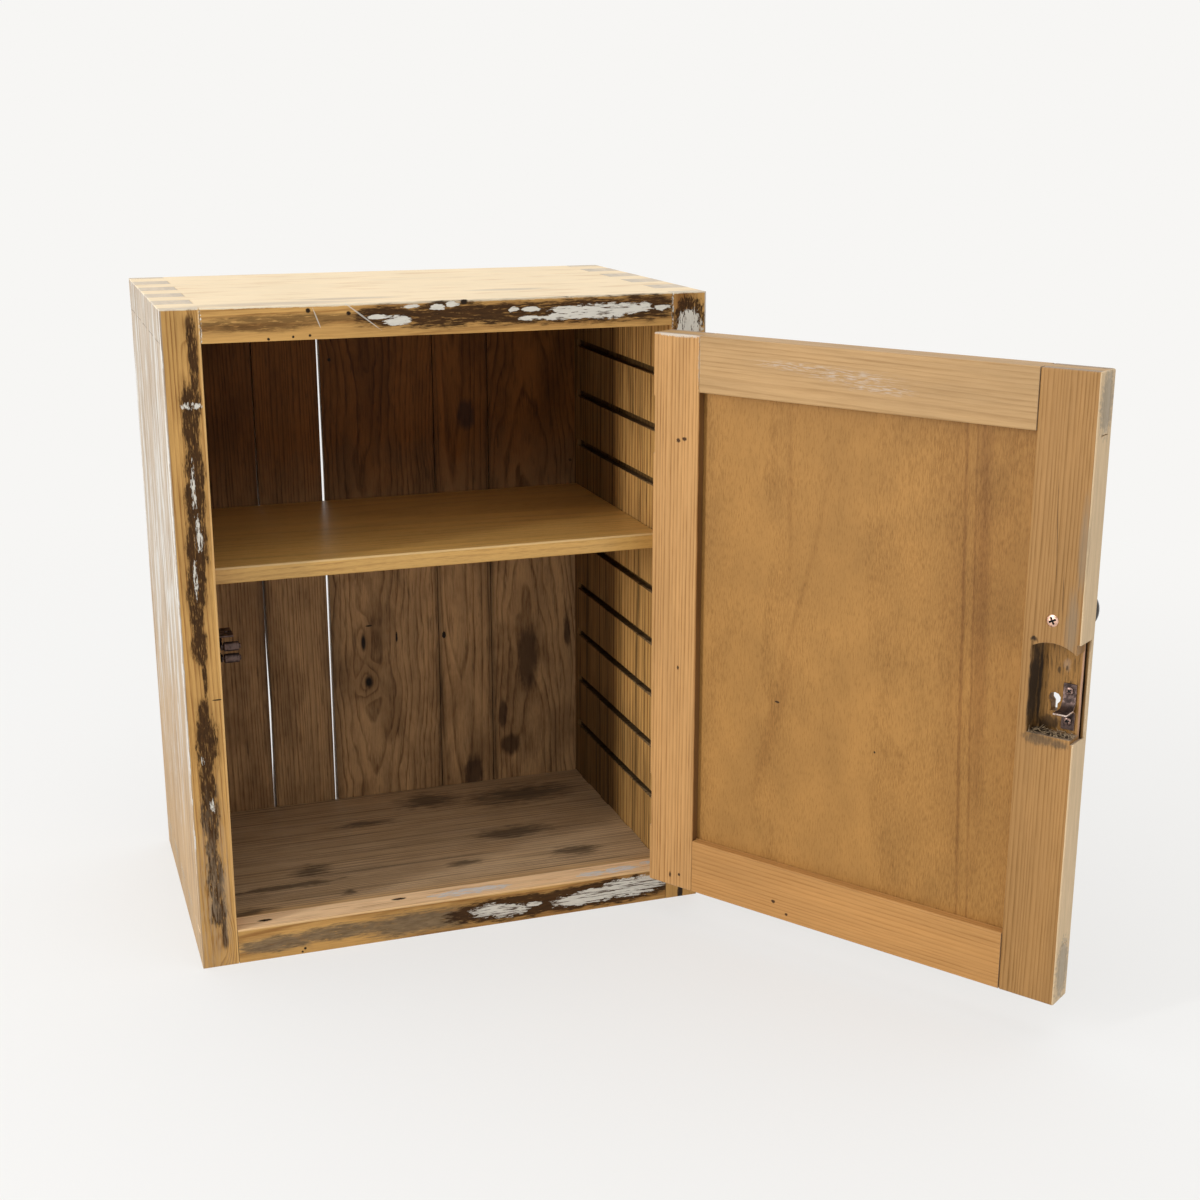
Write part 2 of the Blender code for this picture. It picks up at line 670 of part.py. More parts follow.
def cut_keyhole(stile):
    x, z = DOOR_LEFT + KEYHOLE_FROM_EDGE, NIP_Z + KEYHOLE_ABOVE_NIP
    half = KEYHOLE_SLOT_WIDTH / 2
    meet = math.degrees(math.acos(half / KEYHOLE_RADIUS))
    outline = arc((x, z), KEYHOLE_RADIUS, -meet, 180 + meet)
    outline += [(x - half, z - KEYHOLE_SLOT_DROP), (x + half, z - KEYHOLE_SLOT_DROP)]
    cut(stile, plate_along_y(outline, FRONT - OVERCUT, POCKET_FLOOR + OVERCUT))


def knob_place():
    return DOOR_LEFT + KNOB_FROM_EDGE, DOOR_MIDDLE + KNOB_ABOVE_MIDDLE


def knob_profile():
    # From the crown down to the foot that stands on the door, heights measured from the door.
    crown_height = KNOB_PROJECTION * 0.62
    rise = KNOB_PROJECTION - crown_height
    crown = [(KNOB_RADIUS * math.sin(a), crown_height + rise * math.cos(a))
             for a in (math.radians(18 * i) for i in range(6))]
    under = [(KNOB_RADIUS * 0.86, KNOB_PROJECTION * 0.47), (KNOB_NECK_RADIUS, KNOB_PROJECTION * 0.30)]
    foot = [(KNOB_NECK_RADIUS, KNOB_PROJECTION * 0.16), (KNOB_FOOT_RADIUS, KNOB_PROJECTION * 0.08),
            (KNOB_FOOT_RADIUS, FIT_GAP), (0, FIT_GAP)]
    return crown + under + foot


def add_knob(stile, carrier):
    x, z = knob_place()
    place = driven_in((x, FRONT, z), (0, 1, 0))
    turning = copies(turned_shape(knob_profile(), ROUND_SIDES), [place])
    knob = add_piece("knob", turning, KNOB_BLACK, carrier)
    screw = (KNOB_SCREW_HEAD, KNOB_SCREW_HEAD_HEIGHT, KNOB_SCREW_SHANK, DOOR_THICKNESS + KNOB_SCREW_BITE)
    seat = driven_in((x, DOOR_INSIDE, z), (0, -1, 0))
    hole = countersunk_hole(*screw)
    for piece in (stile, knob):
        cut(piece, copies(turned_shape(hole, SMALL_SIDES), [seat]))
    shape = turned_shape(countersunk_profile(*screw), SMALL_SIDES)
    add_fasteners(shape, {"knob_screw": seat}, STEELS["copper"], carrier)


# Hinges

def knuckle_spans(middle):
    length = HINGE_LENGTH / HINGE_KNUCKLES
    bottom = middle - HINGE_LENGTH / 2
    gap = FIT_GAP / 2
    return [(bottom + i * length + gap, bottom + (i + 1) * length - gap) for i in range(HINGE_KNUCKLES)]


def leaf_span(way):
    near = AXIS_X + way * LEAF_SPACE / 2
    return sorted((near, near + way * LEAF_THICKNESS))


def hinge_screw_places(way, middle):
    face = AXIS_X + way * LEAF_SPACE / 2
    y = FRONT + LEAF_WIDTH / 2
    heights = (middle - HINGE_SCREW_SPREAD, middle + HINGE_SCREW_SPREAD)
    return [driven_in((face, y, z), (way, 0, 0)) for z in heights]


def hinge_screw_size():
    return HINGE_SCREW_HEAD, HINGE_SCREW_HEAD_HEIGHT, HINGE_SCREW_SHANK, HINGE_SCREW_LENGTH


def add_leaf(name, way, middle, knuckles, carrier):
    low, high = middle - HINGE_LENGTH / 2, middle + HINGE_LENGTH / 2
    low_x, high_x = leaf_span(way)
    plate = box_shape(((low_x, FRONT, low), (high_x, FRONT + LEAF_WIDTH, high)))
    leaf = add_piece(name, plate, STEELS["hinge"], carrier)
    trim = FIT_GAP / 2
    straps = []
    for bottom, top in knuckles:
        strap_end = FRONT + LEAF_WIDTH / 4
        straps.append(((low_x + trim, AXIS_Y, bottom + trim), (high_x - trim, strap_end, top - trim)))
    join(leaf, box_shape(*straps))
    barrel = [((AXIS_X, AXIS_Y, bottom), (AXIS_X, AXIS_Y, top), KNUCKLE_RADIUS) for bottom, top in knuckles]
    join(leaf, rod_shape(*barrel, sides=ROUND_SIDES))
    bore = ((AXIS_X, AXIS_Y, low - OVERCUT), (AXIS_X, AXIS_Y, high + OVERCUT), PIN_RADIUS + FIT_GAP)
    cut(leaf, rod_shape(bore, sides=SMALL_SIDES))
    hole = turned_shape(countersunk_hole(*hinge_screw_size()), SMALL_SIDES)
    cut(leaf, copies(hole, hinge_screw_places(way, middle)))


def let_in_hinge(board, way, middle):
    # A mortise for the leaf, open at the front and at the door's inner face, and the screws' pilot holes.
    low_x, high_x = leaf_span(way)
    low_x, high_x = (low_x - OVERCUT, high_x + FIT_GAP) if way > 0 else (low_x - FIT_GAP, high_x + OVERCUT)
    half = HINGE_LENGTH / 2 + FIT_GAP
    back = DOOR_INSIDE + (OVERCUT if way < 0 else 0.0)
    cut(board, box_shape(((low_x, FRONT - OVERCUT, middle - half), (high_x, back, middle + half))))
    pilot = turned_shape(pilot_hole(HINGE_SCREW_SHANK, HINGE_SCREW_LENGTH), SMALL_SIDES)
    cut(board, copies(pilot, hinge_screw_places(way, middle)))


def add_hinges(right_side, hinge_stile, carrier):
    for position, middle in HINGE_HEIGHTS.items():
        spans = knuckle_spans(middle)
        add_leaf(f"hinge_{position}_carcass_leaf", 1, middle, spans[0::2], None)
        add_leaf(f"hinge_{position}_door_leaf", -1, middle, spans[1::2], carrier)
        let_in_hinge(right_side, 1, middle)
        let_in_hinge(hinge_stile, -1, middle)
        half = HINGE_LENGTH / 2 + PIN_STICKS_OUT
        pin = ((AXIS_X, AXIS_Y, middle - half), (AXIS_X, AXIS_Y, middle + half), PIN_RADIUS)
        add_piece(f"hinge_{position}_pin", rod_shape(pin, sides=SMALL_SIDES), STEELS["hinge"])
    for side, way, holder in (("carcass", 1, None), ("door", -1, carrier)):
        places = {}
        for position, middle in HINGE_HEIGHTS.items():
            for number, place in enumerate(hinge_screw_places(way, middle), start=1):
                places[f"hinge_{position}_{side}_screw_{number}"] = place
        screw = turned_shape(countersunk_profile(*hinge_screw_size()), SMALL_SIDES)
        add_fasteners(screw, places, STEELS["hinge"], holder)


# Strike on the door and roller catch on the left side

def add_strike(stile, carrier):
    # One folded strip: upper plate, a tongue of two layers, lower plate.
    floor = POCKET_FLOOR + FIT_GAP
    face = floor + STRIKE_SHEET
    tip = POCKET_FLOOR + STRIKE_REACH
    root = POCKET_FLOOR + STRIKE_ROOT
    spread = STRIKE_ROOT
    sheet = STRIKE_SHEET
    outline = [(floor, STRIKE_ABOVE_NIP), (face, STRIKE_ABOVE_NIP), (face, spread + sheet), (root, sheet),
               (tip - sheet, sheet), (tip, 0.0), (tip - sheet, -sheet), (root, -sheet),
               (face, -spread / 2 - sheet), (face, -STRIKE_BELOW_NIP), (floor, -STRIKE_BELOW_NIP),
               (floor, -spread / 2), (root - sheet, 0.0), (floor, spread)]
    half = STRIKE_WIDTH / 2
    strip = plate_along_x([(y, NIP_Z + z) for y, z in outline], STRIKE_X - half, STRIKE_X + half)
    strike = add_piece("strike", strip, STEELS["bronze"], carrier)
    heights = {"upper": NIP_Z + STRIKE_UPPER_SCREW, "lower": NIP_Z - STRIKE_LOWER_SCREW}
    places = {}
    for position, z in heights.items():
        places[f"strike_screw_{position}"] = driven_in((STRIKE_X, face + FIT_GAP, z), (0, -1, 0))
    pilot = pilot_hole(SMALL_SCREW_SHANK, STRIKE_SCREW_LENGTH)
    for piece in (strike, stile):
        cut(piece, copies(turned_shape(pilot, SMALL_SIDES), places.values()))
    screw = pan_profile(SMALL_SCREW_HEAD, SMALL_SCREW_HEAD_HEIGHT, SMALL_SCREW_SHANK, STRIKE_SCREW_LENGTH)
    add_fasteners(turned_shape(screw, SMALL_SIDES), places, STEELS["copper"], carrier)


def add_catch_bracket(left_side):
    front = ROLLER_Y - BRACKET_FRONT_MARGIN
    end = front + BRACKET_LENGTH
    low_x, high_x = CATCH_WALL + FIT_GAP, CATCH_WALL + FIT_GAP + BRACKET_SHEET
    low_z, high_z = NIP_Z - BRACKET_BELOW_NIP, NIP_Z + BRACKET_ABOVE_NIP
    plate = box_shape(((low_x, front, low_z), (high_x, end, high_z)))
    bracket = add_piece("catch_bracket", plate, STEELS["bronze"])
    flange_x = CATCH_WALL + FLANGE_REACH
    flange_front = front + BRACKET_SHEET
    flange_top = high_z - FIT_GAP
    flange_low = flange_top - BRACKET_SHEET
    flange_end = flange_front + FLANGE_LENGTH
    join(bracket, box_shape((
        ((low_x + high_x) / 2, flange_front, flange_low), (flange_x, flange_end, flange_top))))
    hole_x, hole_y = flange_x - 2 * FLANGE_HOLE_RADIUS, (flange_front + flange_end) / 2
    hole_low, hole_high = (hole_x, hole_y, flange_low - OVERCUT), (hole_x, hole_y, flange_top + OVERCUT)
    cut(bracket, rod_shape((hole_low, hole_high, FLANGE_HOLE_RADIUS)))
    pin_end = ARM_X + ARM_THICKNESS + PIVOT_RADIUS
    for position, z in (("upper", NIP_Z + PIVOT_RISE), ("lower", NIP_Z - PIVOT_RISE)):
        hole = ((low_x - OVERCUT, PIVOT_Y, z), (high_x + OVERCUT, PIVOT_Y, z), PIVOT_RADIUS + FIT_GAP)
        cut(bracket, rod_shape(hole))
        pin = rod_shape(((low_x, PIVOT_Y, z), (pin_end, PIVOT_Y, z), PIVOT_RADIUS))
        add_piece(f"catch_pivot_{position}", pin, STEELS["bronze"])
    middle_z = (low_z + high_z) / 2
    heights = {"upper": middle_z + CATCH_SCREW_SPREAD, "lower": middle_z - CATCH_SCREW_SPREAD}
    screw_x, screw_y = high_x + FIT_GAP, end - CATCH_SCREW_FROM_END
    places = {}
    for position, z in heights.items():
        places[f"catch_screw_{position}"] = driven_in((screw_x, screw_y, z), (-1, 0, 0))
    pilot = pilot_hole(SMALL_SCREW_SHANK, CATCH_SCREW_LENGTH)
    for piece in (bracket, left_side):
        cut(piece, copies(turned_shape(pilot, SMALL_SIDES), places.values()))
    screw = pan_profile(SMALL_SCREW_HEAD, SMALL_SCREW_HEAD_HEIGHT, SMALL_SCREW_SHANK, CATCH_SCREW_LENGTH)
    add_fasteners(turned_shape(screw, SMALL_SIDES), places, STEELS["bronze"])


def arm_outline(way):
    # A straight link with a round eye at the pivot and at the roller's axle.
    pivot, axle = Vector((PIVOT_Y, PIVOT_RISE)), Vector((ROLLER_Y, ROLLER_RISE))
    along = math.degrees(math.atan2(pivot.y - axle.y, pivot.x - axle.x))
    outline = arc(pivot, ARM_EYE_RADIUS, along - 90, along + 90)
    outline += arc(axle, ARM_EYE_RADIUS, along + 90, along + 270)
    return [(y, NIP_Z + way * rise) for y, rise in outline]


def axle_profile():
    seat = ROLLER_LENGTH + 2 * FIT_GAP
    top = seat + AXLE_HEAD_HEIGHT
    bottom = -FIT_GAP - ARM_THICKNESS
    return [(0, top), (AXLE_HEAD_RADIUS, top), (AXLE_HEAD_RADIUS, seat), (AXLE_RADIUS, seat),
            (AXLE_RADIUS, bottom), (0, bottom)]


def add_arm(position, way):
    pivot = (ARM_X, PIVOT_Y, NIP_Z + way * PIVOT_RISE)
    axle = (ROLLER_X, ROLLER_Y, NIP_Z + way * ROLLER_RISE)
    arm_carrier = add_carrier(f"catch_arm_{position}_axis", pivot)
    link = plate_along_x(arm_outline(way), ARM_X, ARM_X + ARM_THICKNESS)
    arm = add_piece(f"catch_arm_{position}", link, STEELS["bronze"], arm_carrier)
    holes = [((ARM_X - OVERCUT, y, z), (ARM_X + ARM_THICKNESS + OVERCUT, y, z), radius + FIT_GAP)
             for (_, y, z), radius in ((pivot, PIVOT_RADIUS), (axle, AXLE_RADIUS))]
    cut(arm, rod_shape(*holes))
    seat = [driven_in(axle, (-1, 0, 0))]
    axle_shape = copies(turned_shape(axle_profile(), SMALL_SIDES), seat)
    add_piece(f"catch_axle_{position}", axle_shape, STEELS["bronze"], arm_carrier)
    roller_carrier = add_carrier(f"catch_roller_{position}_axis", axle)
    start, end = axle[0] + FIT_GAP, axle[0] + FIT_GAP + ROLLER_LENGTH
    tube = rod_shape(((start, *axle[1:]), (end, *axle[1:]), ROLLER_RADIUS), sides=ROUND_SIDES)
    roller = add_piece(f"catch_roller_{position}", tube, STEELS["bronze"], roller_carrier)
    bore = ((start - OVERCUT, *axle[1:]), (end + OVERCUT, *axle[1:]), AXLE_RADIUS + FIT_GAP)
    cut(roller, rod_shape(bore))


def add_catch_spring():
    # A bent strip that lies on the outer sides of both arms' eyes and bends round behind the pivots.
    inner = ARM_EYE_RADIUS + FIT_GAP
    rise = PIVOT_RISE + inner
    lean = math.atan2(PIVOT_RISE - ROLLER_RISE, PIVOT_Y - ROLLER_Y)
    bend = PIVOT_Y + ARM_EYE_RADIUS + SPRING_TAIL
    leg = (PIVOT_Y - ROLLER_Y) * 3 / 4
    leg_end = (PIVOT_Y - leg, rise - leg * math.tan(lean))
    upper = [leg_end, (PIVOT_Y, rise), (bend, rise)]
    outer_side = [(y + shift, r + SPRING_SHEET) for (y, r), shift in zip(upper, (0, 0, SPRING_SHEET))]
    inside = [(y, NIP_Z + r) for y, r in upper] + [(y, NIP_Z - r) for y, r in reversed(upper)]
    outside = [(y, NIP_Z + r) for y, r in outer_side] + [(y, NIP_Z - r) for y, r in reversed(outer_side)]
    strip = plate_along_x(inside + outside[::-1], ARM_X, ARM_X + ARM_THICKNESS)
    add_piece("catch_spring", strip, STEELS["bronze"])


def build():
    left_side = add_side("left_side", -1)
    right_side = add_side("right_side", 1)
    top_board = add_end_board("top_board", "top", CEILING_Z, CABINET_HEIGHT)
    bottom_board = add_end_board("bottom_board", "bottom", 0.0, FLOOR_Z)
    add_back(top_board, bottom_board)
    add_shelf()

    door = add_carrier("door_axis", (AXIS_X, AXIS_Y, 0.0), DOOR_OPEN_DEGREES)
    lock_x, hinge_x = DOOR_LEFT + STILE_WIDTH, DOOR_RIGHT - STILE_WIDTH
    lock_groove = (lock_x - PANEL_GROOVE_DEPTH, lock_x + OVERCUT)
    hinge_groove = (hinge_x - OVERCUT, hinge_x + PANEL_GROOVE_DEPTH)
    lock_stile = add_stile("door_lock_stile", DOOR_LEFT, lock_x, lock_groove, door)
    hinge_stile = add_stile("door_hinge_stile", hinge_x, DOOR_RIGHT, hinge_groove, door)
    rail_top, rail_bottom = DOOR_TOP - TOP_RAIL_WIDTH, DOOR_BOTTOM + BOTTOM_RAIL_WIDTH
    top_groove = (rail_top - OVERCUT, rail_top + PANEL_GROOVE_DEPTH)
    bottom_groove = (rail_bottom - PANEL_GROOVE_DEPTH, rail_bottom + OVERCUT)
    add_rail("door_top_rail", rail_top, DOOR_TOP, top_groove, door)
    add_rail("door_bottom_rail", DOOR_BOTTOM, rail_bottom, bottom_groove, door)
    add_panel(door)
    cut_lock_pocket(lock_stile)
    cut_keyhole(lock_stile)
    add_knob(lock_stile, door)
    add_hinges(right_side, hinge_stile, door)

    add_strike(lock_stile, door)
    add_catch_bracket(left_side)
    for position, way in (("upper", 1), ("lower", -1)):
        add_arm(position, way)
    add_catch_spring()


build()
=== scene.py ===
import json
import math
import random
import bpy
import bmesh
from mathutils import Euler, Matrix, Vector

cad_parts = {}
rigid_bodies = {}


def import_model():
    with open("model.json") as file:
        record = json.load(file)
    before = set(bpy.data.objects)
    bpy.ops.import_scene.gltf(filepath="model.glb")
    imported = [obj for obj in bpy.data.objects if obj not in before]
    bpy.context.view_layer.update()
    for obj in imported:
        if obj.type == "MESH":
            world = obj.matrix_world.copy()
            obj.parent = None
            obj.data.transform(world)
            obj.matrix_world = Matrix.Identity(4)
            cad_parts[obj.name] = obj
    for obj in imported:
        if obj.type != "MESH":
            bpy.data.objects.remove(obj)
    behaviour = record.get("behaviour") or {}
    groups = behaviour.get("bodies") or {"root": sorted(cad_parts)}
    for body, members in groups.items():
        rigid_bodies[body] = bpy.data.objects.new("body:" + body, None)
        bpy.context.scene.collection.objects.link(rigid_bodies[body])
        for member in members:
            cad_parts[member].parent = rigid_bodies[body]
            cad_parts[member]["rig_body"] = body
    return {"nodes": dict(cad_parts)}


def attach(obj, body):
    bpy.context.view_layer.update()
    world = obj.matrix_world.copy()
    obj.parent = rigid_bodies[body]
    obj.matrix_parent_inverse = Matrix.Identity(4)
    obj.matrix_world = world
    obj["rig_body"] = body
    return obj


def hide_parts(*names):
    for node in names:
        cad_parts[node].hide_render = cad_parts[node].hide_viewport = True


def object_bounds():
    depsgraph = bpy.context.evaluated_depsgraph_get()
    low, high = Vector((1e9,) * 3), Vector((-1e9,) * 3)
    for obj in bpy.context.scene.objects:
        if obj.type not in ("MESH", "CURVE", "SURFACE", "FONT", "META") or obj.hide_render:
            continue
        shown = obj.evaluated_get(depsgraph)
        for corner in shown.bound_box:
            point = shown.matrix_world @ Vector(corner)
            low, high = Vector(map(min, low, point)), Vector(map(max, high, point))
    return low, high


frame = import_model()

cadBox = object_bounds()
scene = bpy.context.scene
scene.view_settings.view_transform = "Standard"
nodes = frame["nodes"]
tolerance = {"merge": 1e-6, "edge": 1e-5, "flat": 0.02}  # metres, and radians for flat faces
smoothUnder = {"plate": 35, "turned": 40, "nail": 50}  # degrees, sharper edges stay sharp


def linear(code):  # sRGB hex to a linear colour
    parts = [int(code[i:i + 2], 16) / 255 for i in (0, 2, 4)]
    return tuple(p / 12.92 if p <= 0.04045 else ((p + 0.055) / 1.055) ** 2.4 for p in parts) + (1.0,)


def addNode(tree, kind, *given, **settings):  # values and nodes go to the open sockets in order
    made = tree.nodes.new("ShaderNode" + kind)
    for key, value in settings.items():
        setattr(made, key, value)
    for socket, value in zip([s for s in made.inputs if s.enabled], given):
        if isinstance(value, bpy.types.Node):
            value = next(s for s in value.outputs if s.enabled)
        if isinstance(value, bpy.types.NodeSocket):
            tree.links.new(value, socket)
        elif value is not None:
            socket.default_value = value
    return made


def emptied(owner):  # the cleared node tree of a material or the world
    owner.use_nodes = True
    owner.node_tree.nodes.clear()
    return owner.node_tree


# the door stands open, but its pieces and patterns are laid out with it shut
doorSwing = {"line": (0.1609, -0.1222, 0.0), "open": 123.5}
hingeLine = Matrix.Translation(doorSwing["line"])
doorOut = hingeLine @ Matrix.Rotation(math.radians(doorSwing["open"]), 4, "Z") @ hingeLine.inverted()
doorBack = doorOut.inverted()


def measured(node):  # lowest and highest corner, door shut
    turn = doorBack if nodes[node]["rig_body"] == "door" else Matrix.Identity(4)
    places = [turn @ v.co for v in nodes[node].data.vertices]
    return (Vector([min(p[i] for p in places) for i in range(3)]),
            Vector([max(p[i] for p in places) for i in range(3)]))


def standing(node, direction):  # a round solid's end that faces this way, its length and its radius in mm
    low, high = measured(node)
    axis = [abs(d) for d in direction].index(1)
    head = (low + high) / 2
    head[axis] = high[axis] if direction[axis] > 0 else low[axis]
    return head, (high - low)[axis] * 1000, (high - low)[(axis + 1) % 3] * 500


def pieceName(node):
    words = node.split("_")
    return words[0] + "".join(w.capitalize() for w in words[1:])


shaped = set()  # the solids that have their visible piece


def addPiece(bm, name, body, material, smooth=None):
    if body == "door":
        bmesh.ops.transform(bm, matrix=doorOut, verts=bm.verts[:])
    mesh = bpy.data.meshes.new(name)
    bm.to_mesh(mesh)
    bm.free()
    if smooth:
        mesh.shade_smooth()
        mesh.set_sharp_from_angle(angle=math.radians(smooth))
    piece = bpy.data.objects.new(name, mesh)
    scene.collection.objects.link(piece)
    mesh.materials.append(material)
    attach(piece, body)
    return piece


def keepPiece(bm, node, material, smooth=None):  # a piece that stands for a solid
    shaped.add(node)
    piece = addPiece(bm, pieceName(node), nodes[node]["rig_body"], material, smooth)
    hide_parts(node)
    return piece


def copied(node):  # the solid's own shape, merged, flat faces made whole, door shut
    bm = bmesh.new()
    bm.from_mesh(nodes[node].data)
    bmesh.ops.remove_doubles(bm, verts=bm.verts[:], dist=tolerance["merge"])
    if nodes[node]["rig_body"] == "door":
        bmesh.ops.transform(bm, matrix=doorBack, verts=bm.verts[:])
    bmesh.ops.dissolve_limit(bm, angle_limit=tolerance["flat"], verts=bm.verts[:], edges=bm.edges[:])
    return bm


def cutAcross(bm, place, normal, **more):
    bmesh.ops.bisect_plane(bm, geom=bm.verts[:] + bm.edges[:] + bm.faces[:], plane_co=place, plane_no=normal,
                           **more)


def softened(bm, arris, joint, sharp=0.6):  # outer arrises are worn round, joint edges only eased
    low = [min(v.co[i] for v in bm.verts) for i in range(3)]
    high = [max(v.co[i] for v in bm.verts) for i in range(3)]

    def outer(edge):
        a, b = edge.verts
        held = [i for i in range(3) if abs(a.co[i] - b.co[i]) < tolerance["merge"]
                and min(abs(a.co[i] - low[i]), abs(a.co[i] - high[i])) < tolerance["edge"]]
        return len(held) >= 2

    def eased(edge):  # old paint fills the joints on the outside of the case
        filled = all(abs(v.co.x) > -cadBox[0][0] - tolerance["edge"] for v in edge.verts)
        return not outer(edge) and not filled and edge.calc_length() > 4 * joint

    for wanted, offset, segments in ((eased, joint, 1), (outer, arris, 3)):
        corners = [e for e in bm.edges if e.is_manifold and e.is_convex and e.calc_face_angle() > sharp]
        edges = [e for e in corners if wanted(e)]
        if edges:
            bmesh.ops.bevel(bm, geom=edges, offset=offset, offset_type="OFFSET", segments=segments, profile=0.5,
                            affect="EDGES", material=-1, clamp_overlap=True)
    return bm


def turned(profile, steps):  # spins (radius, height) points in mm round Z
    bm = bmesh.new()
    points = [bm.verts.new((r / 1000, 0, z / 1000)) for r, z in profile]
    edges = [bm.edges.new(pair) for pair in zip(points, points[1:])]
    bmesh.ops.spin(bm, geom=points + edges, cent=(0, 0, 0), axis=(0, 0, 1), angle=math.tau, steps=steps,
                   use_merge=True)
    bmesh.ops.remove_doubles(bm, verts=bm.verts[:], dist=tolerance["merge"])
    bmesh.ops.recalc_face_normals(bm, faces=bm.faces[:])
    return bm


def facing(place, direction, roll=0.0):  # stands +Z on a direction
    turn = Vector((0, 0, 1)).rotation_difference(Vector(direction)).to_matrix().to_4x4()
    return Matrix.Translation(place) @ turn @ Matrix.Rotation(math.radians(roll), 4, "Z")


# Pine: sawn from a log, so every board is cut out of rings round a pith. The eye gets pale spring wood, thin
# dark summer lines, fine fibre streaks, knots that bend the lines, and darker end grain. Layers of old paint,
# primer, stain and dirt, and some painted shade and painted highlights, are laid over it by place. All sizes in
# mm.
def pine(name, look):
    material = bpy.data.materials.new(name)
    tree = emptied(material)
    coords = addNode(tree, "TexCoord")
    back = doorBack.copy() if look.get("door") else Matrix.Identity(4)
    back.translation *= 1000
    place = addNode(tree, "Mapping", coords.outputs["Object"], back.to_translation(), back.to_euler(),
                    (1000, 1000, 1000))

    def noisy(source, sizes, detail, rough):
        scaled = addNode(tree, "VectorMath", source, [1 / s for s in sizes], operation="MULTIPLY")
        return addNode(tree, "TexNoise", scaled, 1.0, detail, rough)

    # u runs with the grain, and the pith is where v and w are nought
    stand = Matrix.Rotation(math.pi / 2, 4, "Y") if look["grain"] == "z" else Matrix.Identity(4)
    lean = Euler([math.radians(a) for a in (0, *look["lean"])]).to_matrix().to_4x4()
    pith = Matrix.Translation((-look.get("start", 0), -look["pith"][0], -look["pith"][1]))
    log = lean @ pith @ stand @ back
    log = addNode(tree, "Mapping", coords.outputs["Object"], log.to_translation(), log.to_euler(),
                  (1000, 1000, 1000))
    drift = noisy(log, look.get("sway", (200, 42, 42)), 3.0, 0.5)
    drift = addNode(tree, "VectorMath", drift.outputs["Color"], (0.5, 0.5, 0.5), operation="SUBTRACT")
    wander = (0, look["wander"], look["wander"])
    drift = addNode(tree, "VectorMath", drift, wander, log, operation="MULTIPLY_ADD")
    drift = addNode(tree, "VectorMath", drift, (0, 1, 1), operation="MULTIPLY")
    radius = addNode(tree, "VectorMath", drift, operation="LENGTH")
    strands = noisy(log, look.get("strand", (24, 1.0, 1.0)), 4.0, 0.65)
    radius = addNode(tree, "Math", strands, look.get("fuzz", 1.0), radius, operation="MULTIPLY_ADD")

    knots = None
    for at, through, size, tall in look.get("knots", []):
        flat = [0.0 if axis == through else 1 / size for axis in "xyz"]
        flat["xyz".index(look["grain"])] = 1 / tall
        near = addNode(tree, "VectorMath", place, at, operation="SUBTRACT")
        near = addNode(tree, "VectorMath", near, flat, operation="MULTIPLY")
        near = addNode(tree, "VectorMath", near, operation="LENGTH")
        bow = addNode(tree, "MapRange", near, 0.0, 5.0, size * 3.0, 0.0, interpolation_type="SMOOTHERSTEP")
        radius = addNode(tree, "Math", radius, bow, operation="ADD")
        core = addNode(tree, "MapRange", near, 0.5, 1.4, 1.0, 0.0, interpolation_type="SMOOTHSTEP")
        knots = core if knots is None else addNode(tree, "Math", knots, core, operation="MAXIMUM")

    uneven = addNode(tree, "Math", radius, 1 / 14, operation="MULTIPLY")
    uneven = addNode(tree, "TexNoise", uneven, 1.0, 1.0, noise_dimensions="1D")
    year = addNode(tree, "Math", uneven, 7.0, radius, operation="MULTIPLY_ADD")  # good and bad years
    year = addNode(tree, "Math", year, 1 / look["ring"], operation="MULTIPLY")
    year = addNode(tree, "Math", year, operation="FRACT")
    late = addNode(tree, "ValToRGB", year)
    stops = [(0.0, 0.7), (0.08, 0.06), (0.45, 0.12), (0.72, 0.45), (0.9, 1.0), (1.0, 0.85)]
    while len(late.color_ramp.elements) < len(stops):
        late.color_ramp.elements.new(0.5)
    for element, (where, grey) in zip(late.color_ramp.elements, stops):
        element.position = where
        element.color = (grey, grey, grey, 1)
    broad = noisy(log, look.get("cloud", (140, 16, 16)), 3.0, 0.55)
    patch = noisy(log, look.get("patch", (60, 7, 7)), 3.0, 0.6)

    fibre = addNode(tree, "MapRange", strands, 0.25, 0.75, -look["fibre"], look["fibre"])
    vary = addNode(tree, "MapRange", patch, 0.3, 0.7, 0.4 * look["contrast"], 1.25 * look["contrast"])
    dark = addNode(tree, "Math", late, vary, fibre, operation="MULTIPLY_ADD", use_clamp=True)
    colour = addNode(tree, "Mix", dark, linear(look["early"]), linear(look["late"]), data_type="RGBA")
    tone = addNode(tree, "MapRange", broad, 0.3, 0.7, 1 - look["tone"], 1 + look["tone"])
    colour = addNode(tree, "VectorMath", colour, tone, operation="SCALE")
    if knots is not None:
        colour = addNode(tree, "Mix", knots, colour, linear(look["knot"]), data_type="RGBA")

    way = {"x": Vector((1, 0, 0)), "z": Vector((0, 0, 1))}[look["grain"]]
    way = doorOut.to_3x3() @ way if look.get("door") else way
    ends = addNode(tree, "VectorMath", coords.outputs["Normal"], way, operation="DOT_PRODUCT")
    ends = addNode(tree, "Math", ends, operation="ABSOLUTE")
    ends = addNode(tree, "MapRange", ends, 0.6, 0.9, 0.0, look.get("endDirt", 0.5))
    colour = addNode(tree, "Mix", ends, colour, linear(look.get("end", "8a6d4d")), data_type="RGBA")
    rough = addNode(tree, "MapRange", strands, 0.2, 0.8, look["rough"] - 0.08, look["rough"] + 0.08)
    height = addNode(tree, "Math", late, 0.35, strands, operation="MULTIPLY_ADD")

